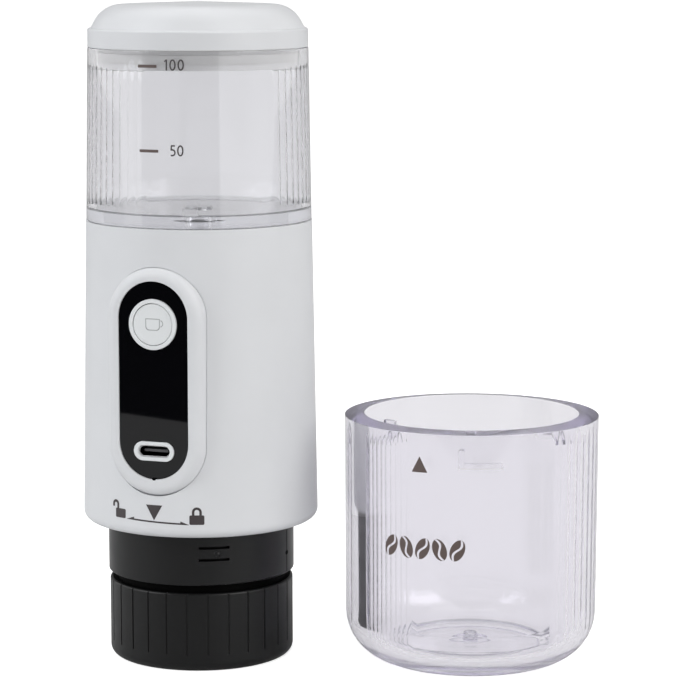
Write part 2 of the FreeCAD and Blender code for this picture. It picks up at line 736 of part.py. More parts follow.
def works():
    """Frame, battery, motor and gear pump with their screws and hoses."""
    wall = block("frame_plate", "frame_width", "-frame_front", "-frame_back", "head_top", "deck_bottom")
    shelf = block("frame_shelf", "gear_distance + 2 * pump_bore + 2 * pump_wall",
                  "motor_back + pump_bore + pump_wall", "-frame_front", "pump_top", "motor_bottom",
                  x="gear_distance / 2")
    eye = cylinder("frame_eye", "shaft_radius + loose_gap", "shelf_thickness + 2 * past", 0, "-motor_back",
                   "pump_top - past")
    intake_slot = cylinder("frame_intake", "nipple_radius + loose_gap", "shelf_thickness + 2 * past",
                           "intake_across", "-port_offset", "pump_top - past")
    notch = cylinder("frame_notch", "socket_bore + deck_socket_wall + loose_gap", "deck_socket_depth + past",
                     z="socket_bottom - loose_gap")
    frame = cut("frame_cut", join("frame_solid", wall, shelf), eye, intake_slot, notch)
    node("inner_frame", frame, "panel_angle")

    cells = [cylinder(f"cell_{side}", "cell_radius", "cell_height", f"{sign} cell_spread", "cell_back",
                      "cell_bottom") for side, sign in (("left", "-"), ("right", "+"))]
    node("battery_cells", group("battery_pair", *cells), "panel_angle")
    band_low = "cell_bottom + (cell_height - strap_height) / 2"

    def band(name, radius, low, height):
        core = block(name + "_core", "2 * cell_spread", f"-cell_back + ({radius})",
                     f"-cell_back - ({radius})", low, f"({low}) + ({height})")
        ends = [cylinder(f"{name}_{side}", radius, height, f"{sign} cell_spread", "cell_back", low)
                for side, sign in (("left", "-"), ("right", "+"))]
        return join(name, core, *ends)
    outer = band("strap_outer", "cell_radius + strap_thickness", band_low, "strap_height")
    inner = band("strap_inner", "cell_radius", band_low + " - past", "strap_height + 2 * past")
    node("battery_strap", cut("strap_cut", outer, inner), "panel_angle")

    can = cylinder("motor_can_solid", "motor_radius", "motor_height", 0, "-motor_back", "motor_bottom")
    hole = cylinder("motor_hole", "shaft_radius + running_gap", "motor_height / 2 + past", 0, "-motor_back",
                    "motor_bottom - past")
    node("motor_can", cut("motor_can_cut", can, hole), "panel_angle")
    shaft = cylinder("motor_shaft_solid", "shaft_radius",
                     "motor_bottom + motor_height / 2 - gear_bottom - gear_slack", 0, "-motor_back",
                     "gear_bottom")
    node("motor_shaft", shaft, "panel_angle")
    back = -value("motor_back")
    node("drive_gear", gear("drive_gear_solid", 0, back, 0, value("shaft_radius")), "panel_angle")
    reach = value("gear_distance")
    half_tooth = 180 - 180 / value("gear_teeth")
    node("driven_gear", gear("driven_gear_solid", reach, back, half_tooth,
                             value("gear_pin_radius + running_gap")), "panel_angle")
    pin = cylinder("gear_pin_solid", "gear_pin_radius", "gear_width + 2 * gear_slack + pump_wall / 2",
                   "gear_distance", "-motor_back", "pump_floor")
    node("gear_pin", pin, "panel_angle")

    width = "gear_distance + 2 * pump_bore + 2 * pump_wall"
    case = block("pump_case", width, "motor_back + pump_bore + pump_wall",
                 "motor_back - pump_bore - pump_wall", "pump_floor", "pump_top", x="gear_distance / 2")
    chambers = [cylinder("pump_chamber_a", "pump_bore", "gear_width + 2 * gear_slack", 0, "-motor_back",
                         "pump_floor"),
                cylinder("pump_chamber_b", "pump_bore", "gear_width + 2 * gear_slack", "gear_distance",
                         "-motor_back", "pump_floor")]
    seal_hole = cylinder("pump_shaft_hole", "shaft_radius + running_gap", "pump_wall + 2 * past", 0,
                         "-motor_back", "gear_top")
    pin_hole = cylinder("pump_pin_hole", "gear_pin_radius", "pump_wall / 2", "gear_distance", "-motor_back",
                        "pump_top - pump_wall")
    intake = cylinder("pump_intake", "nipple_radius", "pump_wall + shelf_thickness + nipple_length",
                      "intake_across", "-port_offset", "pump_top - pump_wall")
    delivery = cylinder("pump_delivery", "nipple_radius", "nipple_length + pump_wall", 0, 0, 0)
    delivery.Placement.Rotation = FreeCAD.Rotation(FreeCAD.Vector(0, 1, 0), -90)
    bind(delivery, x="-pump_bore", y="-port_offset", z="(pump_floor + pump_top) / 2")
    cover = block("pump_cover_plate", width, "motor_back + pump_bore + pump_wall",
                  "motor_back - pump_bore - pump_wall", "pump_bottom", "pump_floor", x="gear_distance / 2")
    screws = []
    case_holes = []
    cover_holes = []
    for side, sign in (("rear", "+"), ("front", "-")):
        x, y = "gear_distance / 2", f"-motor_back {sign} (pump_bore + pump_wall / 4)"
        shank = cylinder(f"pump_shank_{side}", "screw_radius", "screw_length", x, y, "pump_bottom")
        top = cylinder(f"pump_screw_head_{side}", "screw_head_radius", "screw_head_height", x, y,
                       "pump_bottom - screw_head_height")
        screws.append(join(f"pump_screw_{side}", shank, top))
        case_holes.append(cylinder(f"pump_case_hole_{side}", "screw_radius", "screw_length - pump_lid", x, y,
                                   "pump_floor"))
        cover_holes.append(cylinder(f"pump_cover_hole_{side}", "screw_radius", "pump_lid + 2 * past", x, y,
                                    "pump_bottom - past"))
    node("pump_housing", cut("pump_cut", join("pump_solid", case, intake, delivery), *chambers, seal_hole,
                             pin_hole, *case_holes), "panel_angle")
    node("pump_cover", cut("pump_cover_cut", cover, *cover_holes), "panel_angle")
    node("pump_screws", group("pump_screw_pair", *screws), "panel_angle")

    bore = value("nipple_radius")
    wide = value("tube_radius")
    gap = value("tube_gap")
    top = value("socket_bottom") - gap
    bend = top - value("tube_drop")
    across = value("intake_across")
    offset = -value("port_offset")
    route = [(0, 0, top), (0, 0, bend), (across, offset, bend - value("tube_fall")),
             (across, offset, value("motor_bottom") + gap)]
    node("inlet_tube", tube("inlet_hose", route, wide, bore), "panel_angle")
    level = value("(pump_floor + pump_top) / 2")
    side = -value("pump_bore + pump_wall") - gap
    drop = -value("delivery_across")
    route = [(side, offset, level), (drop, offset, level), (drop, offset, value("head_top") + gap)]
    node("outlet_tube", tube("outlet_hose", route, wide, bore), "panel_angle")


def brewing():
    """Collar, brew head with needle and seal, capsule basket and the knob that carries it."""
    collar = lathe("collar_turned", [
        ("collar_bore", "collar_bottom"),
        ("collar_radius", "collar_bottom"),
        ("collar_radius", "flange_bottom"),
        ("flange_radius", "flange_bottom"),
        ("flange_radius", "flange_top"),
        ("collar_bore", "flange_top"),
    ], [(1, "collar_round")])
    thread = cylinder("head_screw_thread", "screw_radius", "screw_length", 0, "-screw_circle",
                      "head_top - screw_length")
    flange_holes = round_array("flange_hole", thread, "screw_count", "panel_angle")
    head_holes = round_array("head_hole", thread, "screw_count", "0")
    doc.removeObject(thread.Name)
    slits = []
    for level in ("slit_low", "slit_low + slit_pitch"):
        slit = block("collar_slit", "slit_length", "collar_radius + past", "collar_bore - past",
                     f"collar_bottom + {level} - slit_height / 2",
                     f"collar_bottom + {level} + slit_height / 2")
        slits += round_array("slit_copy", slit, "tongue_number", "tongue_angle")
        doc.removeObject(slit.Name)
    bump = ball("collar_bump", "2 * bump_radius", 0, "-(collar_radius - bump_radius)",
                "collar_bottom + slit_low + slit_pitch / 2")
    bumps = round_array("bump_copy", bump, "tongue_number", "bump_angle")
    doc.removeObject(bump.Name)
    slitted = cut("collar_slits", collar, *slits, *flange_holes)
    node("lower_collar", join("collar_with_bumps", slitted, *bumps))

    head = lathe("brew_head_turned", [
        ("0", "seal_bottom"),
        ("seal_inner - sliding_gap", "seal_bottom"),
        ("seal_inner - sliding_gap", "seal_top"),
        ("collar_bore - running_gap", "seal_top"),
        ("collar_bore - running_gap", "flange_top"),
        ("head_radius", "flange_top"),
        ("head_radius", "head_top"),
        ("0", "head_top"),
    ])
    drill = cylinder("needle_bore", "needle_radius",
                     "head_plug + head_thickness + seal_thickness + 2 * past", z="seal_bottom - past")
    inlet = cylinder("head_inlet", "nipple_radius", "nipple_length + head_thickness / 2", "-delivery_across",
                     "-port_offset", "head_top - head_thickness / 2")
    node("brew_head", cut("brew_head_cut", join("brew_head_solid", head, inlet), drill, *head_holes),
         "panel_angle")
    seal = ring("brew_gasket_ring", "collar_bore - sliding_gap", "seal_inner", "seal_thickness",
                z="seal_bottom")
    node("brew_gasket", seal)
    stem = cylinder("needle_stem", "needle_radius", "head_plug + head_thickness + seal_thickness",
                    z="seal_bottom")
    tip = cone("needle_tip", "needle_tip_radius", "needle_radius", "needle_length",
               z="seal_bottom - needle_length")
    node("piercing_needle", join("needle_solid", stem, tip))

    basket = lathe("basket_turned", [
        ("spout_bore", "spout_tip"),
        ("spout_radius", "spout_tip"),
        ("spout_radius", "basket_bottom"),
        ("basket_radius", "basket_bottom"),
        ("basket_radius", "basket_top - basket_flange"),
        ("neck_radius", "basket_top - basket_flange"),
        ("neck_radius", "basket_top"),
        ("capsule_lip_radius", "basket_top"),
        ("capsule_lip_radius", "basket_top - capsule_lip_depth"),
        ("capsule_radius", "basket_top - capsule_lip_depth"),
        ("capsule_radius", "chamber_floor"),
        ("spout_bore", "chamber_floor"),
    ])
    node("capsule_basket", basket)
    plate = cylinder("pierce_disc", "capsule_radius - running_gap", "pierce_thickness", z="chamber_floor")
    spike = cone("pierce_spike", "pierce_radius", "pierce_tip_radius", "pierce_height", 0, "-pierce_circle",
                 "chamber_floor + pierce_thickness")
    hole = cylinder("pierce_hole", "pierce_hole_radius", "pierce_thickness + 2 * past", 0,
                    "-pierce_hole_circle", "chamber_floor - past")
    spikes = round_array("spike_copy", spike, "pierce_count", 0)
    holes = round_array("hole_copy", hole, "pierce_count", 0)
    doc.removeObject(spike.Name)
    doc.removeObject(hole.Name)
    node("pierce_plate", cut("pierce_cut", join("pierce_solid", plate, *spikes), *holes))

    knob = lathe("knob_turned", [
        ("spout_radius + loose_gap", "0"),
        ("knob_radius", "0"),
        ("knob_radius", "knob_height"),
        ("neck_radius", "knob_height"),
        ("neck_radius", "neck_top"),
        ("neck_bore", "neck_top"),
        ("neck_bore", "knob_floor"),
        ("spout_radius + loose_gap", "knob_floor"),
    ], [(1, "knob_round"), (2, "knob_edge_chamfer")])
    groove = block("knob_groove", "knob_groove_width", "knob_radius + past",
                   "knob_radius - knob_groove_depth", "knob_groove_start", "knob_height + past")
    grooves = round_array("knob_groove_copy", groove, "knob_panels", "180 / knob_panels")
    doc.removeObject(groove.Name)
    node("holder_knob", cut("knob_cut", knob, *grooves))

    screw = join("head_screw",
                 cylinder("head_screw_shank", "screw_radius", "screw_length", 0, "-screw_circle",
                          "head_top - screw_length"),
                 cylinder("head_screw_top", "screw_head_radius", "screw_head_height", 0, "-screw_circle",
                          "head_top"))
    copies = round_array("head_screw_copy", screw, "screw_count", "0")
    node("head_screws", group("head_screw_set", *copies), "panel_angle")


def cup():
    """Clear cup with a rounded bottom, a fluted inner wall and three lock ribs."""
    outside = lathe("cup_outside", [
        ("0", "0"),
        ("cup_foot_radius", "0"),
        ("cup_rim_radius", "cup_height - cup_rim_drop"),
        ("cup_rim_radius - cup_rim_lean", "cup_height"),
        ("0", "cup_height"),
    ], [(1, "cup_outer_round"), (2, "cup_rim_round"), (3, "cup_rim_round")])
    inside = lathe("cup_inside", [
        ("cup_nub_radius", "cup_floor - cup_floor_step"),
        ("cup_ring_radius - cup_ring_width", "cup_floor - cup_floor_step"),
        ("cup_ring_radius - cup_ring_width", "cup_floor + cup_ring_rise"),
        ("cup_ring_radius", "cup_floor + cup_ring_rise"),
        ("cup_ring_radius", "cup_floor"),
        ("cup_foot_radius - cup_wall", "cup_floor"),
        ("cup_rim_radius - cup_wall", "cup_height + past"),
        ("0", "cup_height + past"),
        ("0", "cup_floor - cup_floor_step + cup_nub_height"),
        ("cup_nub_radius", "cup_floor - cup_floor_step + cup_nub_height"),
    ], [(5, "cup_inner_round")])
    low = "cup_flute_foot"
    high = "cup_height - cup_flute_head"
    bore_low = "cup_foot_radius - cup_wall + cup_taper * cup_flute_foot"
    bore_high = "cup_rim_radius - cup_wall - cup_taper * cup_flute_head"
    grooves = flutes("cup_flutes", bore_low, bore_high, low, high, "window_left", "cup_window_right")
    hollow = cut("cup_hollow", outside, inside, grooves)
    bore = value("cup_rim_radius - cup_wall")
    depth = value("rib_depth")
    root = bore + value("rib_root")
    reach = value("collar_radius + lock_gap")
    low = value("cup_rib_bottom")
    thick = value("rib_thickness")
    height = value("rib_height")
    sweep = value("rib_sweep")
    ribs = []
    for index in range(int(value("rib_number"))):
        start = value("rib_angle") + index * 360 / value("rib_number")
        bar = Part.makeCylinder(root, thick, FreeCAD.Vector(0, 0, low), FreeCAD.Vector(0, 0, 1), sweep)
        bar = bar.cut(Part.makeCylinder(bore - depth, thick, FreeCAD.Vector(0, 0, low)))
        post = Part.makeCylinder(root, height, FreeCAD.Vector(0, 0, low), FreeCAD.Vector(0, 0, 1),
                                 math.degrees(thick / bore))
        post = post.cut(Part.makeCylinder(reach, height, FreeCAD.Vector(0, 0, low)))
        rib = bar.fuse(post).removeSplitter()
        rib.rotate(FreeCAD.Vector(), FreeCAD.Vector(0, 0, 1), start - 90)
        ribs.append(shape_of(f"cup_rib_{index}", rib))
    whole = join("cup_solid", hollow, *ribs)
    bind(whole, x="cup_across", y="-cup_forward")
    node("cup", whole)


lid()
tank()
body()
panel()
works()
brewing()
cup()
doc.recompute()

for item in doc.Objects:
    if "Invalid" in item.State or "Error" in item.State:
        raise RuntimeError(f"{item.Name} did not build: {item.State}")
for item in nodes:
    if item.Shape.isNull() or not item.Shape.isValid() or not item.Shape.Solids:
        raise RuntimeError(f"{item.Label} is not a valid solid")

os.makedirs("parts", exist_ok=True)
for item in nodes:
    item.Shape.exportStep(f"parts/{item.Label}.step")
print(len(nodes), "nodes")
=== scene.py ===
"""Looks of a portable capsule coffee maker and its cup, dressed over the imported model.

Sizes are in millimetres and angles in degrees; a mesh becomes metres where it is made. The machine's
axis is +Z through the origin and the front is -Y. Angles round an axis count from the front, positive
towards +X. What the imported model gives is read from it, and pieces ride on its bodies.
"""
import math

import bmesh
import bpy
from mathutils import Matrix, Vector


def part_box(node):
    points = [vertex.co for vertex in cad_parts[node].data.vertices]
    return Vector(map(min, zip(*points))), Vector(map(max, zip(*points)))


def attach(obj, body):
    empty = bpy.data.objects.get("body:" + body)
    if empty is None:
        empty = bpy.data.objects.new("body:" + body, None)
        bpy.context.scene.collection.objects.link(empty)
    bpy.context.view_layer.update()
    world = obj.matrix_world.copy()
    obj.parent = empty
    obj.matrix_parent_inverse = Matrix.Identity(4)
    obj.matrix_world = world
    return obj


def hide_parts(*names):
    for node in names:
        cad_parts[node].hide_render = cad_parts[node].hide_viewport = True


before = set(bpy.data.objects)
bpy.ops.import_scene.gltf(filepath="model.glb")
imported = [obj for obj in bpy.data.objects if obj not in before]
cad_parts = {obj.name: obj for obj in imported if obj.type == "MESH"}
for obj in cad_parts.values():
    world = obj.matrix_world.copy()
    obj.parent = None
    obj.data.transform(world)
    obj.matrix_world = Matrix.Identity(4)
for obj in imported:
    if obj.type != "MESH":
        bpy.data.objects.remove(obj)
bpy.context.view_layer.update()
MM = 0.001
SHARP = math.radians(32)
MACHINE_AXIS = (0, 0)

# Slack for telling whether an angle or a height lies in a span.
SLACK = 0.01


def low(node, axis=2):
    """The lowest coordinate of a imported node, in millimetres."""
    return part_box(node)[0][axis] / MM


def high(node, axis=2):
    """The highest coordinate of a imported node, in millimetres."""
    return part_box(node)[1][axis] / MM


def middle(node, axis):
    """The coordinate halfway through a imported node, in millimetres."""
    return (low(node, axis) + high(node, axis)) / 2


# A stretch of flutes has its start and end, how many of them a full turn would hold, and how deep they bite
# beyond the small step at each lip.
FLUTE_STEP = 0.05

# The tank: a tapered beaker whose inner wall is fluted except across a plain window.
TANK_FOOT = high("body_deck") + 0.15
TANK_TOP = high("water_tank")
TANK_NECK = low("water_tank")
TANK_FOOT_RADIUS = high("water_tank", 0)
TANK_TOP_RADIUS = 29.2
TANK_WALL = 2.2
TANK_FLOOR = 3.2
TANK_FLOOR_TOP = TANK_FOOT + TANK_FLOOR
TANK_LEDGE = (2.0, 2.3)
TANK_LEDGE_DROP = 0.4
TANK_FLUTES = ((-150.0, -26.0, 64, 0.15), (45.0, 150.0, 64, 0.15))
TANK_FLUTE_LOW = TANK_FLOOR_TOP + 1.0
TANK_FLUTE_HIGH = TANK_TOP - 4.2
TANK_FLUTE_FADES = (2, 1.5)
NECK_RADIUS = 4.4
DRAIN_RADIUS = 2.4
RING_GROOVE = 0.7
FILTER_SEAT_RADIUS = 3.6
FILTER_SEAT_DEPTH = 1.0
KEY_ANGLE = -1.8
KEY_WIDTH = 3.4
KEY_HEIGHT = 5.2
KEY_DEPTH = 1.6
KEY_SLOPE = 0.25

# The cup: rounded bottom, nearly flat rim, flutes that run down into the bottom curve.
CUP_AXIS = (middle("cup", 0), middle("cup", 1))
CUP_TOP = high("cup")
CUP_RIM_RADIUS = 33.9
CUP_FOOT_RADIUS = 33.5
CUP_WALL = 5.3
CUP_FLOOR = 5.2
CUP_OUTER_ROUND = 13.5
CUP_INNER_ROUND = 7.2
CUP_RIM_DROP = 0.5
CUP_RIM_ROUND = 0.15
CUP_LIP_ROUND = 0.2
CUP_RING_RADIUS = 20.7
CUP_RING_WIDTH = 0.8
CUP_RING_RISE = 0.35
CUP_STEP = 0.3
CUP_RECESS_RADIUS = 18.6
CUP_RECESS = 0.5
CUP_GATE_RADII = (5.6, 5.4, 5.0, 4.8)
CUP_GATE_RISE = 0.4
CUP_NUB_RADIUS = 1.75
CUP_NUB = 2.2
CUP_NUB_DISH = 0.9
CUP_FLUTE_LOW = 7.0
CUP_FLUTE_HIGH = CUP_TOP - 1.5
CUP_FLUTE_FADES = (8, 4)
CUP_FLUTES = ((-62.0, -33.0, 112, 0.08), (-145.0, -84.0, 112, 0.08), (40.0, 145.0, 56, 0.09))

# The cup's lock ribs: each is a bar round the wall with a taller and deeper post at its start.
RIB_COUNT = 3
RIB_START = -9.0
RIB_SWEEP = 22.0
RIB_BAR = 1.3
RIB_DEPTH = 2.2
RIB_POST_DEPTH = 3.35
RIB_LOW = CUP_TOP - 9.9
RIB_HIGH = CUP_TOP - 5.2

# Outline of the body, the collar and the knob's top, for what is printed on them or lies against them.
BODY_FOOT = low("body_shell")
BODY_TOP = high("body_shell")
BODY_FOOT_RADIUS = 31.6
BODY_TOP_RADIUS = 30.1
COLLAR_RADIUS = 25.0
KNOB_TOP = 21.3

# How far a print stands off its wall, how finely it bends round it, and the sizes of what is drawn.
PRINT_LIFT = 0.03
PRINT_STEP = 0.8
TICK_LENGTH = 5.35
TICK_THICK = 0.76
NUMERAL_HEIGHT = 2.8
NUMERAL_LINE = 0.135
COLLAR_LINE_ANGLE = 68.5
COLLAR_DOT_LEVEL = 29.1

# Each level mark: its name, the tick's angle and height, the number, and the number's angle and height.
LEVEL_MARKS = (
    ("full", -28.8, 159.7, "100", -14.6, 158.7),
    ("half", -27.8, 138.1, "50", -11.5, 136.9),
)

# The front panel: its turn, how far forward the faces of the bezel, the button and the socket are, and at
# what depths behind its face the painted shade inside the socket is full and where it begins.
PANEL_ANGLE = -19.5
BEZEL_FRONT = 32.1
CAP_FRONT = 32.0
SOCKET_FRONT = 31.3
SOCKET_SHADE_DEPTHS = (0.35, 0.1)

# The camera: its place, how far it looks down, its focal length and picture width in pixels, and the width
# of its sensor.
CAMERA_PLACE = (37.55, -749.6, 193.4)
CAMERA_PITCH = 8.21
LENS_PIXELS = 2822
FRAME_PIXELS = 680
SENSOR = 36

# How many times light may bounce, for the sake of the clear walls.
CLEAR_BOUNCES = 32

# The studio's sheets, in metres: where the floor starts, its sides, its bend and its top, and the cloth.
FLOOR_FRONT = -0.325
FLOOR_SIDES = (-4.0, 4.0)
FLOOR_END = 3.0
FLOOR_BEND = 1.5
FLOOR_TOP = 5.0
FLOOR_COLOUR = (0.78, 0.78, 0.78)
CLOTH_FRONT = -1.6
CLOTH_SIDES = (-0.8, 0.38)
CLOTH_COLOUR = (0.006, 0.006, 0.006)

# How brightly a sheet glows to the camera, how bright clear pieces show it, and the share of that tone.
SEEN_FLOOR = 0.8
SEEN_CLOTH = 1.0
THROUGH_SHEET = 0.99
FLOOR_SHARE = 0.7
CLOTH_SHARE = 0.8

# The surround's strength within the front sector and beyond it, to three kinds of ray, and to all others.
FRONT_SECTOR = (-57.0, 24.0)
SECTOR_EDGE = {"From Min": -0.01, "From Max": 0.02}
SURROUND = {
    "Is Glossy Ray": (0.1, 1.4),
    "Is Transmission Ray": (0.5, 0.95),
    "Is Camera Ray": (1.0, 1.0),
}
AMBIENT = 0.45

# Each lamp: its name, its place, what it aims at, its width and height, its power and its colour.
LAMPS = (
    ("left_softbox", (-1.1, -0.5, 0.75), (0.02, 0, 0.09), (0.9, 1.2), 9.2, (0.97, 0.985, 1.0)),
    ("right_softbox", (1.1, -0.75, 0.75), (0.04, 0, 0.09), (0.8, 1.2), 10.8, (1.0, 0.995, 0.985)),
    ("front_softbox", (0.0, -1.2, 1.0), (0.03, 0, 0.09), (1.2, 0.6), 1.1, (1.0, 1.0, 1.0)),
    ("top_softbox", (0.0, 0.1, 1.3), (0.03, 0, 0.05), (1.4, 1.2), 2.4, (1.0, 1.0, 1.0)),
)


def tapered(z, foot, top, foot_radius, top_radius):
    """A cone's radius at a height, from those at its foot and its top."""
    return foot_radius + (top_radius - foot_radius) * (z - foot) / (top - foot)


def body_radius(z):
    """The body's outer radius at a height."""
    return tapered(z, BODY_FOOT, BODY_TOP, BODY_FOOT_RADIUS, BODY_TOP_RADIUS)


def collar_radius(z):
    """The collar's outer radius, the same at every height."""
    return COLLAR_RADIUS


def tank_radius(z):
    """The tank's outer radius at a height."""
    return tapered(z, TANK_FOOT, TANK_TOP, TANK_FOOT_RADIUS, TANK_TOP_RADIUS)


def cup_radius(z):
    """The cup's outer radius at a height, above its rounded bottom."""
    return tapered(z, 0, CUP_TOP, CUP_FOOT_RADIUS, CUP_RIM_RADIUS)


def spot(radius, angle, z, centre=MACHINE_AXIS):
    """A place in metres from a radius, an angle from the front and a height."""
    turn = math.radians(angle)
    return Vector((centre[0] + radius * math.sin(turn), centre[1] - radius * math.cos(turn), z)) * MM


# Meshes.

def finish_mesh(name, shape, body, finish, replaces=()):
    """Turn a bmesh into a shaded piece that rides on a body."""
    bmesh.ops.recalc_face_normals(shape, faces=shape.faces)
    for edge in shape.edges:
        edge.smooth = not (len(edge.link_faces) == 2 and edge.calc_face_angle(0) > SHARP)
    for face in shape.faces:
        face.smooth = True
    mesh = bpy.data.meshes.new(name)
    shape.to_mesh(mesh)
    shape.free()
    mesh.materials.append(finish)
    piece = bpy.data.objects.new(name, mesh)
    bpy.context.scene.collection.objects.link(piece)
    if replaces:
        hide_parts(*replaces)
    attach(piece, body)
    return piece


def rounded(corners, steps=7):
    """Points along a path whose corners (radius, height, round) are rounded, with holding points."""
    hold = 0.12
    points = []
    for index, (r, z, radius) in enumerate(corners):
        here = Vector((r, z))
        if not radius or index in (0, len(corners) - 1):
            points.append(here)
            continue
        before = (Vector(corners[index - 1][:2]) - here).normalized()
        after = (Vector(corners[index + 1][:2]) - here).normalized()
        half = before.angle(after) / 2
        reach = radius / math.tan(half)
        centre = here + (before + after).normalized() * (radius / math.sin(half))
        start = here + before * reach - centre
        end = here + after * reach - centre
        sweep = math.atan2(start.x * end.y - start.y * end.x, start.dot(end))
        points.append(here + before * (reach + hold))
        for step in range(steps + 1):
            turn = sweep * step / steps
            points.append(centre + Vector((start.x * math.cos(turn) - start.y * math.sin(turn),
                                           start.x * math.sin(turn) + start.y * math.cos(turn))))
        points.append(here + after * (reach + hold))
    return [(point.x, point.y) for point in points]


def turned(rows, angles, radius_at, centre=MACHINE_AXIS, closed=False):
    """A surface of revolution as a grid; rows on the axis shrink to one point."""
    shape = bmesh.new()
    grid = []
    for r, z in rows:
        if r < 1e-6:
            grid.append([shape.verts.new(spot(0, 0, z, centre))] * len(angles))
        else:
            grid.append([shape.verts.new(spot(radius_at(r, z, angle), angle, z, centre))
                         for angle in angles])
    count = len(angles)
    pairs = list(zip(grid, grid[1:])) + ([(grid[-1], grid[0])] if closed else [])
    for upper, lower in pairs:
        for index in range(count):
            following = (index + 1) % count
            corners = [upper[index], lower[index], lower[following], upper[following]]
            corners = [vert for place, vert in enumerate(corners) if vert not in corners[:place]]
            if len(corners) > 2:
                shape.faces.new(corners)
    return shape


def flute_angles(stretches):
    """Angles round the turn that follow each flute's hollow and the lip it shares with the next."""
    shares = (0.0, 0.03, 0.12, 0.25, 0.42, 0.58, 0.75, 0.88, 0.97)
    room, lip = 0.5, 0.17
    angles = {float(turn) for turn in range(-180, 180, 5)}
    for start, end, count, _ in stretches:
        pitch = 360 / count
        flutes = round((end - start) / pitch)
        last = start + flutes * pitch
        angles = {angle for angle in angles if not start - room < angle < last + room}
        angles |= {start + (index + share) * pitch for index in range(flutes) for share in shares}
        angles |= {start - lip, last, last + lip}
    return sorted(angles)


def flute_depth(angle, share, stretches):
    """How far a flute bites outwards at an angle, nothing across the plain stretches."""
    for start, end, count, bite in stretches:
        pitch = 360 / count
        last = start + round((end - start) / pitch) * pitch
        if start - SLACK < angle < last + SLACK:
            place = (angle - start) / pitch % 1
            return share * (FLUTE_STEP + bite * (1 - (2 * place - 1) ** 2))
    return 0


def faded(z, start, end, fades):
    """The share of a flute's full bite at a height, easing in from both ends."""
    share = max(0, min(1, (z - start) / fades[0], (end - z) / fades[1]))
    return share * share * (3 - 2 * share)


def fade_marks(start, end, fades):
    """Heights for rows where a flute eases in from both ends."""
    shares = (0.0, 0.25, 0.5, 0.75, 1.0)
    return [start + share * fades[0] for share in shares] + [end - share * fades[1] for share in shares]


def split_rows(rows, marks):
    """Rows with more points where a long run passes the marked heights."""
    out = [rows[0]]
    for (r0, z0), (r1, z1) in zip(rows, rows[1:]):
        inside = [mark for mark in marks if min(z0, z1) + 0.02 < mark < max(z0, z1) - 0.02]
        for mark in sorted(inside, reverse=z1 < z0):
            share = (mark - z0) / (z1 - z0)
            out.append((r0 + (r1 - r0) * share, mark))
        out.append((r1, z1))
    return out


# Materials.

def put(tree, socket, source):
    """Feed a shader socket from another socket, or with a plain number, direction or colour."""
    if isinstance(source, bpy.types.NodeSocket):
        tree.links.new(source, socket)
    elif socket.type == "RGBA":
        socket.default_value = (*source, 1)
    else:
        socket.default_value = source


def add(tree, kind, sources=None, **settings):
    """Add a shader node; sources feed its inputs by name or number, settings are its own properties."""
    made = tree.nodes.new(f"ShaderNode{kind}")
    for key, setting in settings.items():
        setattr(made, key, setting)
    for key, source in (sources or {}).items():
        put(tree, made.inputs[key], source)
    return made


def times(tree, first, second):
    """The product of two numbers in a shader."""
    return add(tree, "Math", {0: first, 1: second}, operation="MULTIPLY").outputs[0]


def mixed(tree, factor, first, second):
    """A mix of two numbers in a shader."""
    return add(tree, "Mix", {0: factor, 2: first, 3: second}).outputs[0]


def mixed_colour(tree, factor, first, second):
    """A mix of two colours in a shader."""
    return add(tree, "Mix", {0: factor, 6: first, 7: second}, data_type="RGBA").outputs[2]


def object_place(tree):
    """Where a point of the piece is at rest, in metres."""
    return add(tree, "TexCoord").outputs["Object"]


def material(name, colour, roughness, **inputs):
    """A node material with one Principled shader; inputs name its other sockets."""
    made = bpy.data.materials.new(name)
    made.use_nodes = True
    tree = made.node_tree
    shader = tree.nodes["Principled BSDF"]
    put(tree, shader.inputs["Base Color"], colour)
    put(tree, shader.inputs["Roughness"], roughness)
    for key, number in inputs.items():
        put(tree, shader.inputs[key.replace("_", " ")], number)
    return made, tree, shader


def noise(tree, scale, detail=3):
    """Object-space noise, scale in bumps per metre."""
    sources = {"Vector": object_place(tree), "Scale": scale, "Detail": detail}
    return add(tree, "TexNoise", sources).outputs["Fac"]


def ramp(tree, source, low_value, high_value):
    """Map a noise's usual span to a range of numbers."""
    span = {"From Min": 0.3, "From Max": 0.7, "To Min": low_value, "To Max": high_value}
    return add(tree, "MapRange", {"Value": source, **span}).outputs["Result"]


def uneven_gloss(tree, shader, roughness, scale, spread):
    """Let the roughness drift by a share of itself."""
    gloss = ramp(tree, noise(tree, scale), roughness * (1 - spread), roughness * (1 + spread))
    put(tree, shader.inputs["Roughness"], gloss)


def grain(tree, shader, scale, height, edge=0.0, detail=3):
    """Fine moulded texture as bump, with rounded edges where asked."""
    bump = add(tree, "Bump", {"Strength": 1.0, "Distance": height, "Height": noise(tree, scale, detail)})
    if edge:
        bevel = add(tree, "Bevel", {"Radius": edge * MM}, samples=6)
        put(tree, bump.inputs["Normal"], bevel.outputs["Normal"])
    put(tree, shader.inputs["Normal"], bump.outputs["Normal"])


def moulded(name, colour, roughness, grain_scale=9000, grain_height=2e-6, edge=0.25, drift=0.03,
            **inputs):
    """Opaque moulded plastic: drifting tone, uneven gloss, fine grain and rounded edges."""
    made, tree, shader = material(name, colour, roughness, **inputs)
    darker = tuple(channel * (1 - drift) for channel in colour)
    tone = mixed_colour(tree, ramp(tree, noise(tree, scale=60), 0, 1), darker, colour)
    put(tree, shader.inputs["Base Color"], tone)
    uneven_gloss(tree, shader, roughness, scale=140, spread=0.1)
    grain(tree, shader, grain_scale, grain_height, edge)
    return made


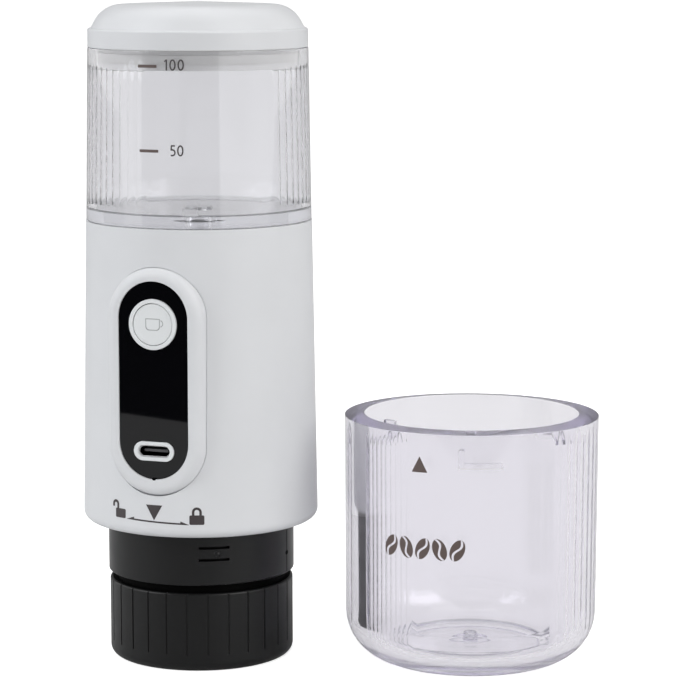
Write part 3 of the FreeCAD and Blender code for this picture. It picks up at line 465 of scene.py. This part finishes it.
def within(tree, source, low_edge, high_edge):
    """1 where a length lies between two edges given in millimetres, 0 elsewhere."""
    sources = {0: source, 1: (low_edge + high_edge) / 2 * MM, 2: (high_edge - low_edge) / 2 * MM}
    return add(tree, "Math", sources, operation="COMPARE").outputs[0]


def clear(name, colour, tint, density, waviness, centre, patches):
    """Clear moulded plastic, faintly tinted through its thickness.

    A patch is a round part of it that is hazier, lighter or darker, light and shade painted into the clear
    plastic: its inner and outer radius, its lowest and highest point, its haze and its colour.
    """
    made, tree, shader = material(name, colour, 0.03, IOR=1.52)
    place = object_place(tree)
    height = add(tree, "SeparateXYZ", {0: place}).outputs["Z"]
    sources = {0: place, 1: (1, 1, 0), 2: (-centre[0] * MM, -centre[1] * MM, 0)}
    flat = add(tree, "VectorMath", sources, operation="MULTIPLY_ADD").outputs["Vector"]
    away = add(tree, "VectorMath", {0: flat}, operation="LENGTH").outputs["Value"]
    clearness, tone = 1 - CLEAR_HAZE, colour
    for inner, outer, lowest, highest, haze, shade in patches:
        mask = times(tree, within(tree, away, inner, outer), within(tree, height, lowest, highest))
        clearness = mixed(tree, mask, clearness, 1 - haze)
        tone = mixed_colour(tree, mask, tone, shade)
    put(tree, shader.inputs["Transmission Weight"], clearness)
    put(tree, shader.inputs["Base Color"], tone)
    grain(tree, shader, scale=70, height=waviness, detail=1)
    volume = add(tree, "VolumeAbsorption", {"Color": tint, "Density": density})
    put(tree, tree.nodes["Material Output"].inputs["Volume"], volume.outputs["Volume"])
    return made


def metal(name, colour, roughness):
    """Plain metal with uneven gloss and a fine grain."""
    made, tree, shader = material(name, colour, roughness, Metallic=1.0)
    uneven_gloss(tree, shader, roughness, scale=900, spread=0.2)
    grain(tree, shader, scale=2500, height=1.5e-6, edge=0.08)
    return made


def socket_steel_painted_shade():
    """Steel in plain colour at the socket's mouth, with painted shade that darkens it deeper inside the
    socket.
    """
    bright, dark = (0.6, 0.6, 0.61), (0.012, 0.012, 0.013)
    made = metal("socket_steel_painted_shade", bright, 0.3)
    tree = made.node_tree
    turn = math.radians(PANEL_ANGLE)
    sources = {0: object_place(tree), 1: (math.sin(turn), -math.cos(turn), 0)}
    forward = add(tree, "VectorMath", sources, operation="DOT_PRODUCT").outputs["Value"]
    # Deeper inside the socket the steel turns to painted shade.
    dark_at, bright_at = [(SOCKET_FRONT - depth) * MM for depth in SOCKET_SHADE_DEPTHS]
    sources = {"Value": forward, "From Min": dark_at, "From Max": bright_at}
    share = add(tree, "MapRange", sources).outputs["Result"]
    put(tree, tree.nodes["Principled BSDF"].inputs["Base Color"], mixed_colour(tree, share, dark, bright))
    return made


# The haze of clear plastic, the heights between which the painted shade lines on the cup's floor lie, and
# the patches of painted light and shade.
CLEAR_HAZE = 0.02
FLOOR_BAND = (CUP_FLOOR - 0.35, CUP_FLOOR + 0.4)
TANK_LIGHT_AND_SHADE_PATCHES = (
    # The floor's top, hazy and lighter: painted light over the shade the deck shows through it.
    (0, TANK_FOOT_RADIUS - TANK_WALL, TANK_FLOOR_TOP - 0.6, TANK_FLOOR_TOP + 0.1,
     0.4, (0.97, 0.97, 0.98)),
    # The foot band, darker and bluer: painted shade.
    (TANK_FOOT_RADIUS - 0.5, TANK_FOOT_RADIUS + 1, TANK_FOOT, TANK_FLOOR_TOP + 0.3,
     0.12, (0.86, 0.87, 0.90)),
)
# Painted shade: darker lines at the floor's ring, the gate marks, the nub's rim and the underside recess.
CUP_SHADE_PATCHES = (
    (CUP_RING_RADIUS - CUP_RING_WIDTH - 0.1, CUP_RING_RADIUS + 0.1, *FLOOR_BAND,
     CLEAR_HAZE, (0.52, 0.52, 0.56)),
    (CUP_GATE_RADII[-1] - 0.1, CUP_GATE_RADII[0] + 0.1, *FLOOR_BAND,
     CLEAR_HAZE, (0.72, 0.72, 0.76)),
    (CUP_NUB_RADIUS - 0.5, CUP_NUB_RADIUS + 0.6, CUP_FLOOR, CUP_FLOOR + 3,
     CLEAR_HAZE, (0.62, 0.62, 0.66)),
    (CUP_RECESS_RADIUS - 0.1, CUP_RECESS_RADIUS + 0.5, -0.1, CUP_RECESS + 0.1,
     CLEAR_HAZE, (0.40, 0.40, 0.43)),
)

# Each moulded finish: its colour, its roughness and what sets it apart from plain plastic.
MOULDED = {
    "white_shell": ((0.70, 0.71, 0.73), 0.38, {"Specular_IOR_Level": 0.4}),
    # Painted light: the inner white is lighter than the shell, for the light the clear tank keeps from the
    # deck.
    "white_inner": ((0.80, 0.81, 0.83), 0.5, {"Specular_IOR_Level": 0.3}),
    "white_button": ((0.755, 0.775, 0.785), 0.34, {"Specular_IOR_Level": 0.4}),
    # Painted light: the plug and its seal are far lighter than their grey, for the light the clear tank
    # keeps from them.
    "grey_plug": ((0.93, 0.93, 0.92), 0.5, {"edge": 0.15}),
    "seal_rubber": ((0.84, 0.84, 0.82), 0.55, {"edge": 0.1, "Specular_IOR_Level": 0.3}),
    "socket_black": ((0.10, 0.10, 0.105), 0.45, {}),
    "board_green": ((0.02, 0.12, 0.05), 0.45, {}),
    "display_dark": ((0.01, 0.01, 0.012), 0.2, {}),
    "inner_plastic": ((0.45, 0.45, 0.46), 0.5, {}),
    "cell_wrap": ((0.05, 0.16, 0.36), 0.35, {}),
    "gear_plastic": ((0.78, 0.74, 0.62), 0.45, {}),
    "pump_plastic": ((0.10, 0.10, 0.11), 0.45, {}),
    "hose": ((0.62, 0.60, 0.56), 0.4, {}),
    "black_plastic": ((0.0050, 0.0051, 0.0055), 0.34, {
        "grain_scale": 5200, "grain_height": 3e-6, "edge": 0.12, "drift": 0.1,
        "Specular_IOR_Level": 0.28}),
    "black_knob": ((0.0045, 0.0046, 0.0049), 0.37, {
        "grain_scale": 5200, "grain_height": 3.5e-6, "edge": 0.2, "drift": 0.1,
        "Specular_IOR_Level": 0.26}),
    "print_ink": ((0.105, 0.075, 0.068), 0.5, {"edge": 0}),
    "print_dark": ((0.045, 0.036, 0.038), 0.5, {"edge": 0}),
    # The grey of the button's sunk outline: painted shade for its groove.
    "fine_line": ((0.36, 0.37, 0.38), 0.6, {"edge": 0}),
    # Dull black for seams and marks, and the painted shade of the gap under the collar.
    "black_line": ((0.001, 0.001, 0.001), 0.7, {"edge": 0, "Specular_IOR_Level": 0.05}),
}
FINISH = {
    "clear_tank": clear("clear_tank", (0.93, 0.93, 0.95), (0.85, 0.84, 0.88), density=16, waviness=1.2e-5,
                        centre=MACHINE_AXIS, patches=TANK_LIGHT_AND_SHADE_PATCHES),
    "clear_cup": clear("clear_cup", (0.95, 0.94, 0.97), (0.80, 0.78, 0.86), density=24, waviness=1.6e-5,
                       centre=CUP_AXIS, patches=CUP_SHADE_PATCHES),
    "steel": metal("steel", (0.60, 0.60, 0.61), 0.28),
    # The socket's steel, with painted shade inside the socket.
    "socket_steel_painted_shade": socket_steel_painted_shade(),
    "black_glass": material("black_glass", (0.0022, 0.0022, 0.0030), 0.02, Specular_IOR_Level=0.36)[0],
}
for finish, (colour, roughness, inputs) in MOULDED.items():
    FINISH[finish] = moulded(finish, colour, roughness, **inputs)

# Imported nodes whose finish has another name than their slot.
OWN_FINISH = {"socket_shell": "socket_steel_painted_shade"}


def dress_nodes():
    """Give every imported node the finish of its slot, which its packed material is named after."""
    for name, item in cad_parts.items():
        slot = item.data.materials[0].name.split(".")[0]
        item.data.materials.clear()
        item.data.materials.append(FINISH[OWN_FINISH.get(name, slot)])


# Clear pieces.

def water_tank():
    """The clear tank with its fluted inner wall, key block, floor and outlet neck."""
    floor = TANK_FLOOR_TOP
    groove = (TANK_NECK + TANK_FOOT) / 2
    inner_foot = tank_radius(floor) - TANK_WALL
    corners = [
        (DRAIN_RADIUS, TANK_NECK, 0),
        (NECK_RADIUS, TANK_NECK, 0.4),
        (NECK_RADIUS, groove - RING_GROOVE, 0),
        (NECK_RADIUS - RING_GROOVE, groove - RING_GROOVE, 0),
        (NECK_RADIUS - RING_GROOVE, groove + RING_GROOVE, 0),
        (NECK_RADIUS, groove + RING_GROOVE, 0),
        (NECK_RADIUS, TANK_FOOT, 0.4),
        (TANK_FOOT_RADIUS, TANK_FOOT, 0.3),
        (TANK_TOP_RADIUS, TANK_TOP, 0.2),
        (TANK_TOP_RADIUS - TANK_WALL, TANK_TOP, 0.2),
        (inner_foot, floor, 0.35),
        (inner_foot - TANK_LEDGE[0], floor, 0.1),
        (inner_foot - TANK_LEDGE[1], floor - TANK_LEDGE_DROP, 0.1),
        (FILTER_SEAT_RADIUS, floor - TANK_LEDGE_DROP, 0.2),
        (FILTER_SEAT_RADIUS, floor - FILTER_SEAT_DEPTH, 0),
        (DRAIN_RADIUS, floor - FILTER_SEAT_DEPTH, 0),
    ]
    rows = rounded(corners)
    inner = [index for index, (r, z) in enumerate(rows)
             if z > floor + 0.02 and r < tank_radius(z) - TANK_WALL / 2]
    marks = fade_marks(TANK_FLUTE_LOW, TANK_FLUTE_HIGH, TANK_FLUTE_FADES)
    marks += [floor + (TANK_TOP - floor) * eighth / 8 for eighth in range(1, 8)]
    key_top = TANK_FOOT + KEY_HEIGHT
    marks += [key_top - KEY_SLOPE, key_top]
    first, last = inner[0], inner[-1]
    rows = rows[:first] + split_rows(rows[first:last + 1], marks) + rows[last + 1:]
    bore = TANK_FOOT_RADIUS - TANK_WALL
    angles = flute_angles(TANK_FLUTES)
    half_key = math.degrees(KEY_WIDTH / 2 / bore)
    angles += [KEY_ANGLE + sign * (half_key + extra) for sign in (-1, 1) for extra in (0, 0.4)]
    angles = sorted(set(round(angle, 4) for angle in angles))

    def radius_at(r, z, angle):
        """The outline's radius, changed by the flutes and the key block on the inner wall."""
        if r > tank_radius(z) - TANK_WALL / 2:
            return r
        on_key = floor + 0.05 < z <= key_top - 0.2 and r > bore - 1.2
        if on_key and abs(angle - KEY_ANGLE) < half_key + SLACK:
            return bore - KEY_DEPTH
        if not floor + 0.4 <= z <= TANK_TOP - 0.4:
            return r
        share = faded(z, TANK_FLUTE_LOW, TANK_FLUTE_HIGH, TANK_FLUTE_FADES)
        return r + flute_depth(angle, share, TANK_FLUTES)

    shape = turned(rows, angles, radius_at, closed=True)
    finish_mesh("clear_water_tank", shape, "tank", FINISH["clear_tank"], ["water_tank"])


def cup():
    """The clear cup with its rounded bottom, flutes, gate marks and the three lock ribs."""
    low_floor = CUP_FLOOR - CUP_STEP
    corners = [
        (0, CUP_RECESS, 0),
        (CUP_RECESS_RADIUS, CUP_RECESS, 0.2),
        (CUP_RECESS_RADIUS + 0.4, 0, 0.2),
        (CUP_FOOT_RADIUS, 0, CUP_OUTER_ROUND),
        (cup_radius(CUP_TOP - CUP_RIM_DROP), CUP_TOP - CUP_RIM_DROP, CUP_RIM_ROUND),
        (CUP_RIM_RADIUS - CUP_WALL, CUP_TOP, CUP_LIP_ROUND),
        (CUP_FOOT_RADIUS - CUP_WALL, CUP_FLOOR, CUP_INNER_ROUND),
        (CUP_RING_RADIUS, CUP_FLOOR, 0),
        (CUP_RING_RADIUS, CUP_FLOOR + CUP_RING_RISE, 0.15),
        (CUP_RING_RADIUS - CUP_RING_WIDTH, CUP_FLOOR + CUP_RING_RISE, 0.15),
        (CUP_RING_RADIUS - CUP_RING_WIDTH, low_floor, 0.12),
        (CUP_GATE_RADII[0], low_floor, 0.1),
        (CUP_GATE_RADII[1], low_floor + CUP_GATE_RISE, 0.1),
        (CUP_GATE_RADII[2], low_floor + CUP_GATE_RISE, 0.1),
        (CUP_GATE_RADII[3], low_floor + 0.1, 0.1),
        (CUP_NUB_RADIUS + 0.35, low_floor + 0.1, 0.2),
        (CUP_NUB_RADIUS + 0.15, low_floor + CUP_NUB, 0.3),
        (CUP_NUB_RADIUS - 0.35, low_floor + CUP_NUB, 0.15),
        (CUP_NUB_RADIUS - 0.75, low_floor + CUP_NUB - CUP_NUB_DISH, 0.3),
        (0, low_floor + CUP_NUB - CUP_NUB_DISH, 0),
    ]
    rows = rounded(corners, steps=10)
    marks = fade_marks(CUP_FLUTE_LOW, CUP_FLUTE_HIGH, CUP_FLUTE_FADES)
    for level, off in ((RIB_LOW, -0.1), (RIB_LOW + RIB_BAR, 0.1), (RIB_HIGH, 0.1)):
        marks += [level, level + off]
    wall_start, wall_step, wall_rows = 12, 5.5, 8
    marks += [wall_start + wall_step * row for row in range(wall_rows)]
    rows = split_rows(rows, sorted(set(marks)))
    bore = CUP_FOOT_RADIUS - CUP_WALL
    angles = flute_angles(CUP_FLUTES)
    post = math.degrees(RIB_BAR / bore)
    edges = []
    for index in range(RIB_COUNT):
        start = RIB_START + index * 360 / RIB_COUNT
        for angle, off in ((start, -0.2), (start + post, 0.2), (start + RIB_SWEEP, 0.2)):
            edges += [angle, angle + off]
    edges = [(edge + 180) % 360 - 180 for edge in edges]
    angles = [angle for angle in angles if all(abs(angle - edge) > 0.15 for edge in edges)] + edges
    angles = sorted(set(round(angle, 4) for angle in angles))

    def radius_at(r, z, angle):
        """The outline's radius, changed by the flutes and the lock ribs on the inner wall."""
        if z < CUP_FLOOR + 0.4 or r > cup_radius(z) - CUP_WALL / 2 or z > CUP_FLUTE_HIGH:
            return r
        for index in range(RIB_COUNT):
            turn = (angle - RIB_START - index * 360 / RIB_COUNT) % 360
            if turn < post + SLACK and RIB_LOW - SLACK < z < RIB_HIGH + SLACK:
                return cup_radius(z) - CUP_WALL - RIB_POST_DEPTH
            if turn < RIB_SWEEP + SLACK and RIB_LOW - SLACK < z < RIB_LOW + RIB_BAR + SLACK:
                return cup_radius(z) - CUP_WALL - RIB_DEPTH
        share = faded(z, CUP_FLUTE_LOW, CUP_FLUTE_HIGH, CUP_FLUTE_FADES)
        return r + flute_depth(angle, share, CUP_FLUTES)

    shape = turned(rows, angles, radius_at, CUP_AXIS)
    finish_mesh("clear_cup_body", shape, "cup", FINISH["clear_cup"], ["cup"])


# Prints and fine lines that follow a round wall.

def flat_polygons(polygons):
    """A flat bmesh of filled polygons, in millimetres across and up."""
    shape = bmesh.new()
    for outline in polygons:
        verts = [shape.verts.new((x, z, 0)) for x, z in outline]
        shape.faces.new(verts)
    return shape


def flat_band(inner, outer):
    """A flat strip between two outlines with as many points."""
    shape = bmesh.new()
    rails = [[shape.verts.new((x, z, 0)) for x, z in rail] for rail in (inner, outer)]
    for index in range(len(inner) - 1):
        shape.faces.new((rails[0][index], rails[0][index + 1], rails[1][index + 1], rails[1][index]))
    return shape


def merged(*shapes):
    """One flat bmesh of several."""
    whole = bmesh.new()
    for shape in shapes:
        copies = {vert: whole.verts.new(vert.co) for vert in shape.verts}
        for face in shape.faces:
            whole.faces.new([copies[vert] for vert in face.verts])
        shape.free()
    return whole


def stroke(path, thickness):
    """A flat strip of even thickness along a path; one that ends where it starts is closed."""
    closed = (Vector(path[0]) - Vector(path[-1])).length < 1e-6
    last = len(path) - 1
    rails = ([], [])
    for index, (x, z) in enumerate(path):
        before = index - 1 if index else (-2 if closed else 0)
        after = index + 1 if index < last else (1 if closed else last)
        along = (Vector(path[after]) - Vector(path[before])).normalized()
        for rail, side in zip(rails, (-0.5, 0.5)):
            rail.append((x - along.y * side * thickness, z + along.x * side * thickness))
    return flat_band(*rails)


def arc_points(x, z, radius, start, end, steps=14):
    """Points along an arc, in degrees from the right."""
    turns = [math.radians(start + (end - start) * step / steps) for step in range(steps + 1)]
    return [(x + radius * math.cos(turn), z + radius * math.sin(turn)) for turn in turns]


def box_outline(x0, z0, x1, z1, radius=0.0):
    """A rectangle's outline with rounded corners."""
    if not radius:
        return [(x0, z0), (x1, z0), (x1, z1), (x0, z1)]
    points = []
    for x, z, start in ((x1 - radius, z0 + radius, -90), (x1 - radius, z1 - radius, 0),
                        (x0 + radius, z1 - radius, 90), (x0 + radius, z0 + radius, 180)):
        points += arc_points(x, z, radius, start, start + 90, 4)
    return points


# Each numeral in units of its height: its width, and its strokes with their share of the line's thickness.
NUMERALS = {
    "0": (0.76, (([(0.27 + 0.23 * x, 0.5 + 0.445 * z) for x, z in arc_points(0, 0, 1, 0, 360, 28)], 1),)),
    "1": (0.57, (([(0.26, 0), (0.26, 1)], 1), ([(0.05, 0.8), (0.25, 0.95)], 0.8))),
    "5": (0.70, (([(0.11, 0.945), (0.47, 0.945)], 1), ([(0.145, 0.98), (0.12, 0.52)], 1),
                 (arc_points(0.215, 0.32, 0.265, 118, -118, 16), 1))),
}


def numerals(words, height):
    """Plain upright numerals made of strokes, their foot at zero."""
    shapes = []
    across = 0
    for letter in words:
        width, strokes = NUMERALS[letter]
        for path, share in strokes:
            path = [(across + x * height, z * height) for x, z in path]
            shapes.append(stroke(path, NUMERAL_LINE * share * height))
        across += width * height
    return merged(*shapes)


# Each printed wall: its radius at a height, the body and slot it belongs to, and its axis.
WALLS = {
    "tank": (tank_radius, "tank", "clear_tank", MACHINE_AXIS),
    "body": (body_radius, "machine", "white_shell", MACHINE_AXIS),
    "collar": (collar_radius, "machine", "black_plastic", MACHINE_AXIS),
    "cup": (cup_radius, "cup", "clear_cup", CUP_AXIS),
}


def laid(name, shape, body, ink, outward_at):
    """Finish a thin piece and turn its faces the way its wall faces."""
    piece = finish_mesh(name, shape, body, FINISH[ink])
    for face in piece.data.polygons:
        if face.normal.dot(outward_at(face.center)) < 0:
            face.flip()


def printed(name, shape, angle, z, wall, ink):
    """Wrap a flat bmesh on a round wall, its origin at an angle and a height."""
    radius_at, body, slot, centre = WALLS[wall]
    lowest = min(vert.co.x for vert in shape.verts)
    highest = max(vert.co.x for vert in shape.verts)
    for index in range(1, int((highest - lowest) / PRINT_STEP) + 1):
        cut = (lowest + index * PRINT_STEP, 0, 0)
        parts = shape.verts[:] + shape.edges[:] + shape.faces[:]
        bmesh.ops.bisect_plane(shape, geom=parts, plane_co=cut, plane_no=(1, 0, 0))
    bmesh.ops.triangulate(shape, faces=[face for face in shape.faces if len(face.verts) > 4])
    for vert in shape.verts:
        level = z + vert.co.y
        radius = radius_at(level)
        vert.co = spot(radius + PRINT_LIFT, angle + math.degrees(vert.co.x / radius), level, centre)
    laid(name, shape, body, ink, lambda place: place - spot(0, 0, place.z / MM, centre))


def padlock(width, body_height, shackle, thickness, opened):
    """A padlock pictogram, its lower left corner at the origin; opened, it hangs from its left leg."""
    sunk, corner = 0.05, 0.35
    outer = width * 0.33
    middle_x = sunk if opened else width / 2
    rise = shackle - outer
    short = rise * 0.35 if opened else 0
    case = flat_polygons([box_outline(0, 0, width, body_height, corner)])
    rails = []
    for radius in (outer - thickness, outer):
        rails.append([(middle_x + radius, body_height - sunk)]
                     + arc_points(middle_x, body_height + rise, radius, 0, 180)
                     + [(middle_x - radius, body_height + short)])
    return merged(case, flat_band(*rails))


def level_marks():
    """Two ticks and their numerals on the tank."""
    for name, tick_angle, tick_z, words, text_angle, text_z in LEVEL_MARKS:
        tick = flat_polygons([box_outline(0, -TICK_THICK / 2, TICK_LENGTH, TICK_THICK / 2, 0.1)])
        printed(f"level_tick_{name}", tick, tick_angle, tick_z, "tank", "print_ink")
        number = numerals(words, NUMERAL_HEIGHT)
        printed(f"level_number_{name}", number, text_angle, text_z, "tank", "print_dark")


def double_arrow():
    """A thin arrow with a half head at each end, falling slightly to the right."""
    length = math.radians(32.5) * BODY_FOOT_RADIUS
    head, barb, shaft, fall = 2.4, 0.9, 0.42, 0.55
    arrow = flat_polygons([
        [(0, 0), (head, 0), (head, barb)],
        [(length - head, barb), (length - head, 0), (length, 0)],
        [(head, 0), (length - head, 0), (length - head, shaft), (head, shaft)],
    ])
    for vert in arrow.verts:
        vert.co.y -= fall * vert.co.x / length
    return arrow


def body_symbols():
    """Open padlock, closed padlock, pointer and double arrow near the foot of the body."""
    for name, shape, angle, z in (
            ("unlocked", padlock(3.5, 2.45, 2.2, 0.7, True), -42.3, 41.8),
            ("locked", padlock(3.9, 2.5, 2.1, 0.64, False), -2.8, 41.3),
            ("pointer", flat_polygons([[(-2.3, 4.05), (0, 0), (2.3, 4.05)]]), -20.1, 42.1),
            ("arrow", double_arrow(), -35.3, 41.75)):
        printed(f"symbol_{name}", shape, angle, z, "body", "print_dark")


def on_panel(name, shape, level, front, ink, body="machine"):
    """Lay a flat bmesh on a plane of the front panel, its origin at a height."""
    sine, cosine = math.sin(math.radians(PANEL_ANGLE)), math.cos(math.radians(PANEL_ANGLE))
    forward = front + PRINT_LIFT
    for vert in shape.verts:
        x, z = vert.co.x, level + vert.co.y
        vert.co = Vector((x * cosine + forward * sine, x * sine - forward * cosine, z)) * MM
    laid(name, shape, body, ink, lambda place: Vector((sine, -cosine, 0)))


def panel_marks():
    """The cup outline sunk in the button, drawn as a grey line of painted shade for its groove, and the
    little notch under the window.
    """
    wide, tall, line, bend = 2.0, 3.1, 0.2, 0.9
    rails = []
    for inset in (0, line):
        side, foot, rim = wide - inset, -tall / 2 + inset, tall / 2 - inset
        rails.append([(-side, rim), (-side, foot + bend)]
                     + arc_points(-side + bend, foot + bend, bend, 180, 270, 4)
                     + arc_points(side - bend, foot + bend, bend, 270, 360, 4)
                     + [(side, rim), (-side, rim)])
    handle = [arc_points(wide, 0.3, radius, -75, 75, 8) for radius in (0.75, 0.95)]
    outline = merged(flat_band(*rails), flat_band(*handle))
    on_panel("button_cup_outline", outline, middle("button_cap", 2), CAP_FRONT, "fine_line",
             "button")
    notch = flat_polygons([arc_points(0, 0, 0.6, 180, 360, 8)])
    on_panel("window_notch", notch, low("panel_window") + 0.3, BEZEL_FRONT, "black_line")


def collar_line():
    """The moulding line down the collar's side, with its small dot."""
    foot = low("lower_collar") + 0.4
    line = flat_polygons([box_outline(-0.2, 0, 0.2, BODY_FOOT - foot)])
    printed("collar_line", line, COLLAR_LINE_ANGLE, foot, "collar", "black_line")
    dot = flat_polygons([[(1.5 * x, z) for x, z in arc_points(0, 0, 0.6, 0, 345, 15)]])
    printed("collar_dot", dot, COLLAR_LINE_ANGLE, COLLAR_DOT_LEVEL, "collar", "black_line")


def neck_gap_shade():
    """A thin dull black ring on the knob's neck: painted shade that darkens the gap under the collar."""
    gap_low, gap_high, neck, rim, thick = KNOB_TOP + 0.02, low("lower_collar") + 0.3, 22.77, 24.0, 0.05
    rows = [(neck, gap_low), (rim, gap_low), (rim, gap_low + thick), (neck + thick, gap_low + thick),
            (neck + thick, gap_high), (neck, gap_high)]
    shape = turned(rows, range(0, 360, 3), lambda r, z, angle: r, closed=True)
    finish_mesh("neck_gap_shade", shape, "knob", FINISH["black_line"])


def bean(x, z, length, width, tilt):
    """A coffee bean pictogram: two halves with a wavy gap between them."""
    steps, gap, shorter = 18, 0.16 * width, 0.94
    turns = [math.pi * (step / steps - 0.5) for step in range(steps + 1)]
    tilted = math.radians(tilt)
    halves = []
    for side in (-1, 1):
        points = [(side * width / 2 * math.cos(turn), length / 2 * math.sin(turn)) for turn in turns]
        for turn in reversed(turns[1:-1]):
            wave = gap * math.sin(math.pi * math.sin(turn))
            points.append((side * gap / 2 + wave, length / 2 * math.sin(turn) * shorter))
        halves.append([(x + a * math.cos(tilted) - b * math.sin(tilted),
                        z + a * math.sin(tilted) + b * math.cos(tilted)) for a, b in points])
    return flat_polygons(halves)


def cup_print():
    """Pointer and a row of beans printed on the cup's front."""
    pointer = flat_polygons([[(-2.2, 0), (2.2, 0), (0, 4.2)]])
    printed("cup_pointer", pointer, -25.8, 56.2, "cup", "print_ink")
    span, count, tilts = math.radians(39.9) * CUP_FOOT_RADIUS, 5, (-24, 20)
    beans = [bean(span * (index + 0.5) / count, 0, 5.9, 3.7, tilts[index % 2]) for index in range(count)]
    printed("cup_beans", merged(*beans), -44.2, 36.2, "cup", "print_ink")


# Studio.

def sheet_of_paper(name, rail, sides, colour, seen, share):
    """A sheet swept along a rail; a camera sees it lit up, and clear pieces show it more evenly."""
    shape = bmesh.new()
    rows = [[shape.verts.new((x, y, z)) for x in sides] for y, z in rail]
    for first, second in zip(rows, rows[1:]):
        face = shape.faces.new((first[0], first[1], second[1], second[0]))
        face.smooth = True
    mesh = bpy.data.meshes.new(name)
    shape.to_mesh(mesh)
    shape.free()
    sheet = bpy.data.objects.new(name, mesh)
    bpy.context.scene.collection.objects.link(sheet)
    made, tree, shader = material(f"{name}_paper", colour, 0.9, Specular_IOR_Level=0.0)
    ray = add(tree, "LightPath").outputs
    put(tree, shader.inputs["Emission Color"], (1, 1, 1))
    put(tree, shader.inputs["Emission Strength"], times(tree, ray["Is Camera Ray"], seen))
    glow = add(tree, "Emission", {"Strength": THROUGH_SHEET}).outputs["Emission"]
    even = times(tree, ray["Is Transmission Ray"], share)
    both = add(tree, "MixShader", {0: even, 1: shader.outputs["BSDF"], 2: glow})
    put(tree, tree.nodes["Material Output"].inputs["Surface"], both.outputs["Shader"])
    mesh.materials.append(made)


def surround():
    """A white world, darker in front to what mirrors it or shows it through clear plastic."""
    world = bpy.data.worlds.new("surround")
    bpy.context.scene.world = world
    world.use_nodes = True
    tree = world.node_tree
    ray = add(tree, "LightPath").outputs
    towards = add(tree, "TexCoord").outputs["Generated"]
    edges = []
    for angle, sign in zip(FRONT_SECTOR, (-1, 1)):
        turn = math.radians(angle)
        across = (sign * math.cos(turn), sign * math.sin(turn), 0)
        beyond = add(tree, "VectorMath", {0: towards, 1: across}, operation="DOT_PRODUCT").outputs["Value"]
        edges.append(add(tree, "MapRange", {"Value": beyond, **SECTOR_EDGE}).outputs["Result"])
    sideways = add(tree, "Math", {0: edges[0], 1: edges[1]}, operation="MAXIMUM").outputs[0]
    strength = AMBIENT
    for kind, (front, side) in SURROUND.items():
        level = add(tree, "MapRange", {"Value": sideways, "To Min": front, "To Max": side})
        strength = mixed(tree, ray[kind], strength, level.outputs["Result"])
    background = tree.nodes["Background"]
    put(tree, background.inputs["Strength"], strength)
    put(tree, background.inputs["Color"], (1, 1, 1))


def studio():
    """Pale floor that curves up behind, a dark cloth in front of it, soft lamps and the surround."""
    rail = [(FLOOR_FRONT, 0.0)]
    for angle in range(0, 91, 6):
        turn = math.radians(angle)
        rail.append((FLOOR_END + FLOOR_BEND * math.sin(turn), FLOOR_BEND - FLOOR_BEND * math.cos(turn)))
    rail.append((FLOOR_END + FLOOR_BEND, FLOOR_TOP))
    sheet_of_paper("floor", rail, FLOOR_SIDES, FLOOR_COLOUR, SEEN_FLOOR, FLOOR_SHARE)
    rail = [(FLOOR_FRONT, 0.0), (CLOTH_FRONT, 0.0)]
    sheet_of_paper("dark_cloth", rail, CLOTH_SIDES, CLOTH_COLOUR, SEEN_CLOTH, CLOTH_SHARE)
    surround()
    for name, place, aim, size, power, colour in LAMPS:
        light = bpy.data.lights.new(name, "AREA")
        light.shape = "RECTANGLE"
        light.size, light.size_y = size
        light.energy = power
        light.color = colour
        lamp = bpy.data.objects.new(name, light)
        lamp.location = place
        lamp.rotation_euler = (Vector(aim) - Vector(place)).to_track_quat("-Z", "Y").to_euler()
        bpy.context.scene.collection.objects.link(lamp)


def camera():
    """The photograph's view, looking slightly down."""
    data = bpy.data.cameras.new("camera")
    data.sensor_width = SENSOR
    data.lens = LENS_PIXELS / FRAME_PIXELS * SENSOR
    data.clip_end = 50
    item = bpy.data.objects.new("camera", data)
    item.location = Vector(CAMERA_PLACE) * MM
    item.rotation_euler = (math.radians(90 - CAMERA_PITCH), 0, 0)
    bpy.context.scene.collection.objects.link(item)
    bpy.context.scene.camera = item


dress_nodes()
water_tank()
cup()
level_marks()
body_symbols()
panel_marks()
collar_line()
neck_gap_shade()
cup_print()
studio()
camera()
bpy.context.scene.view_settings.view_transform = "Standard"
bpy.context.scene.cycles.max_bounces = CLEAR_BOUNCES
bpy.context.scene.cycles.glossy_bounces = CLEAR_BOUNCES
bpy.context.scene.cycles.transmission_bounces = CLEAR_BOUNCES
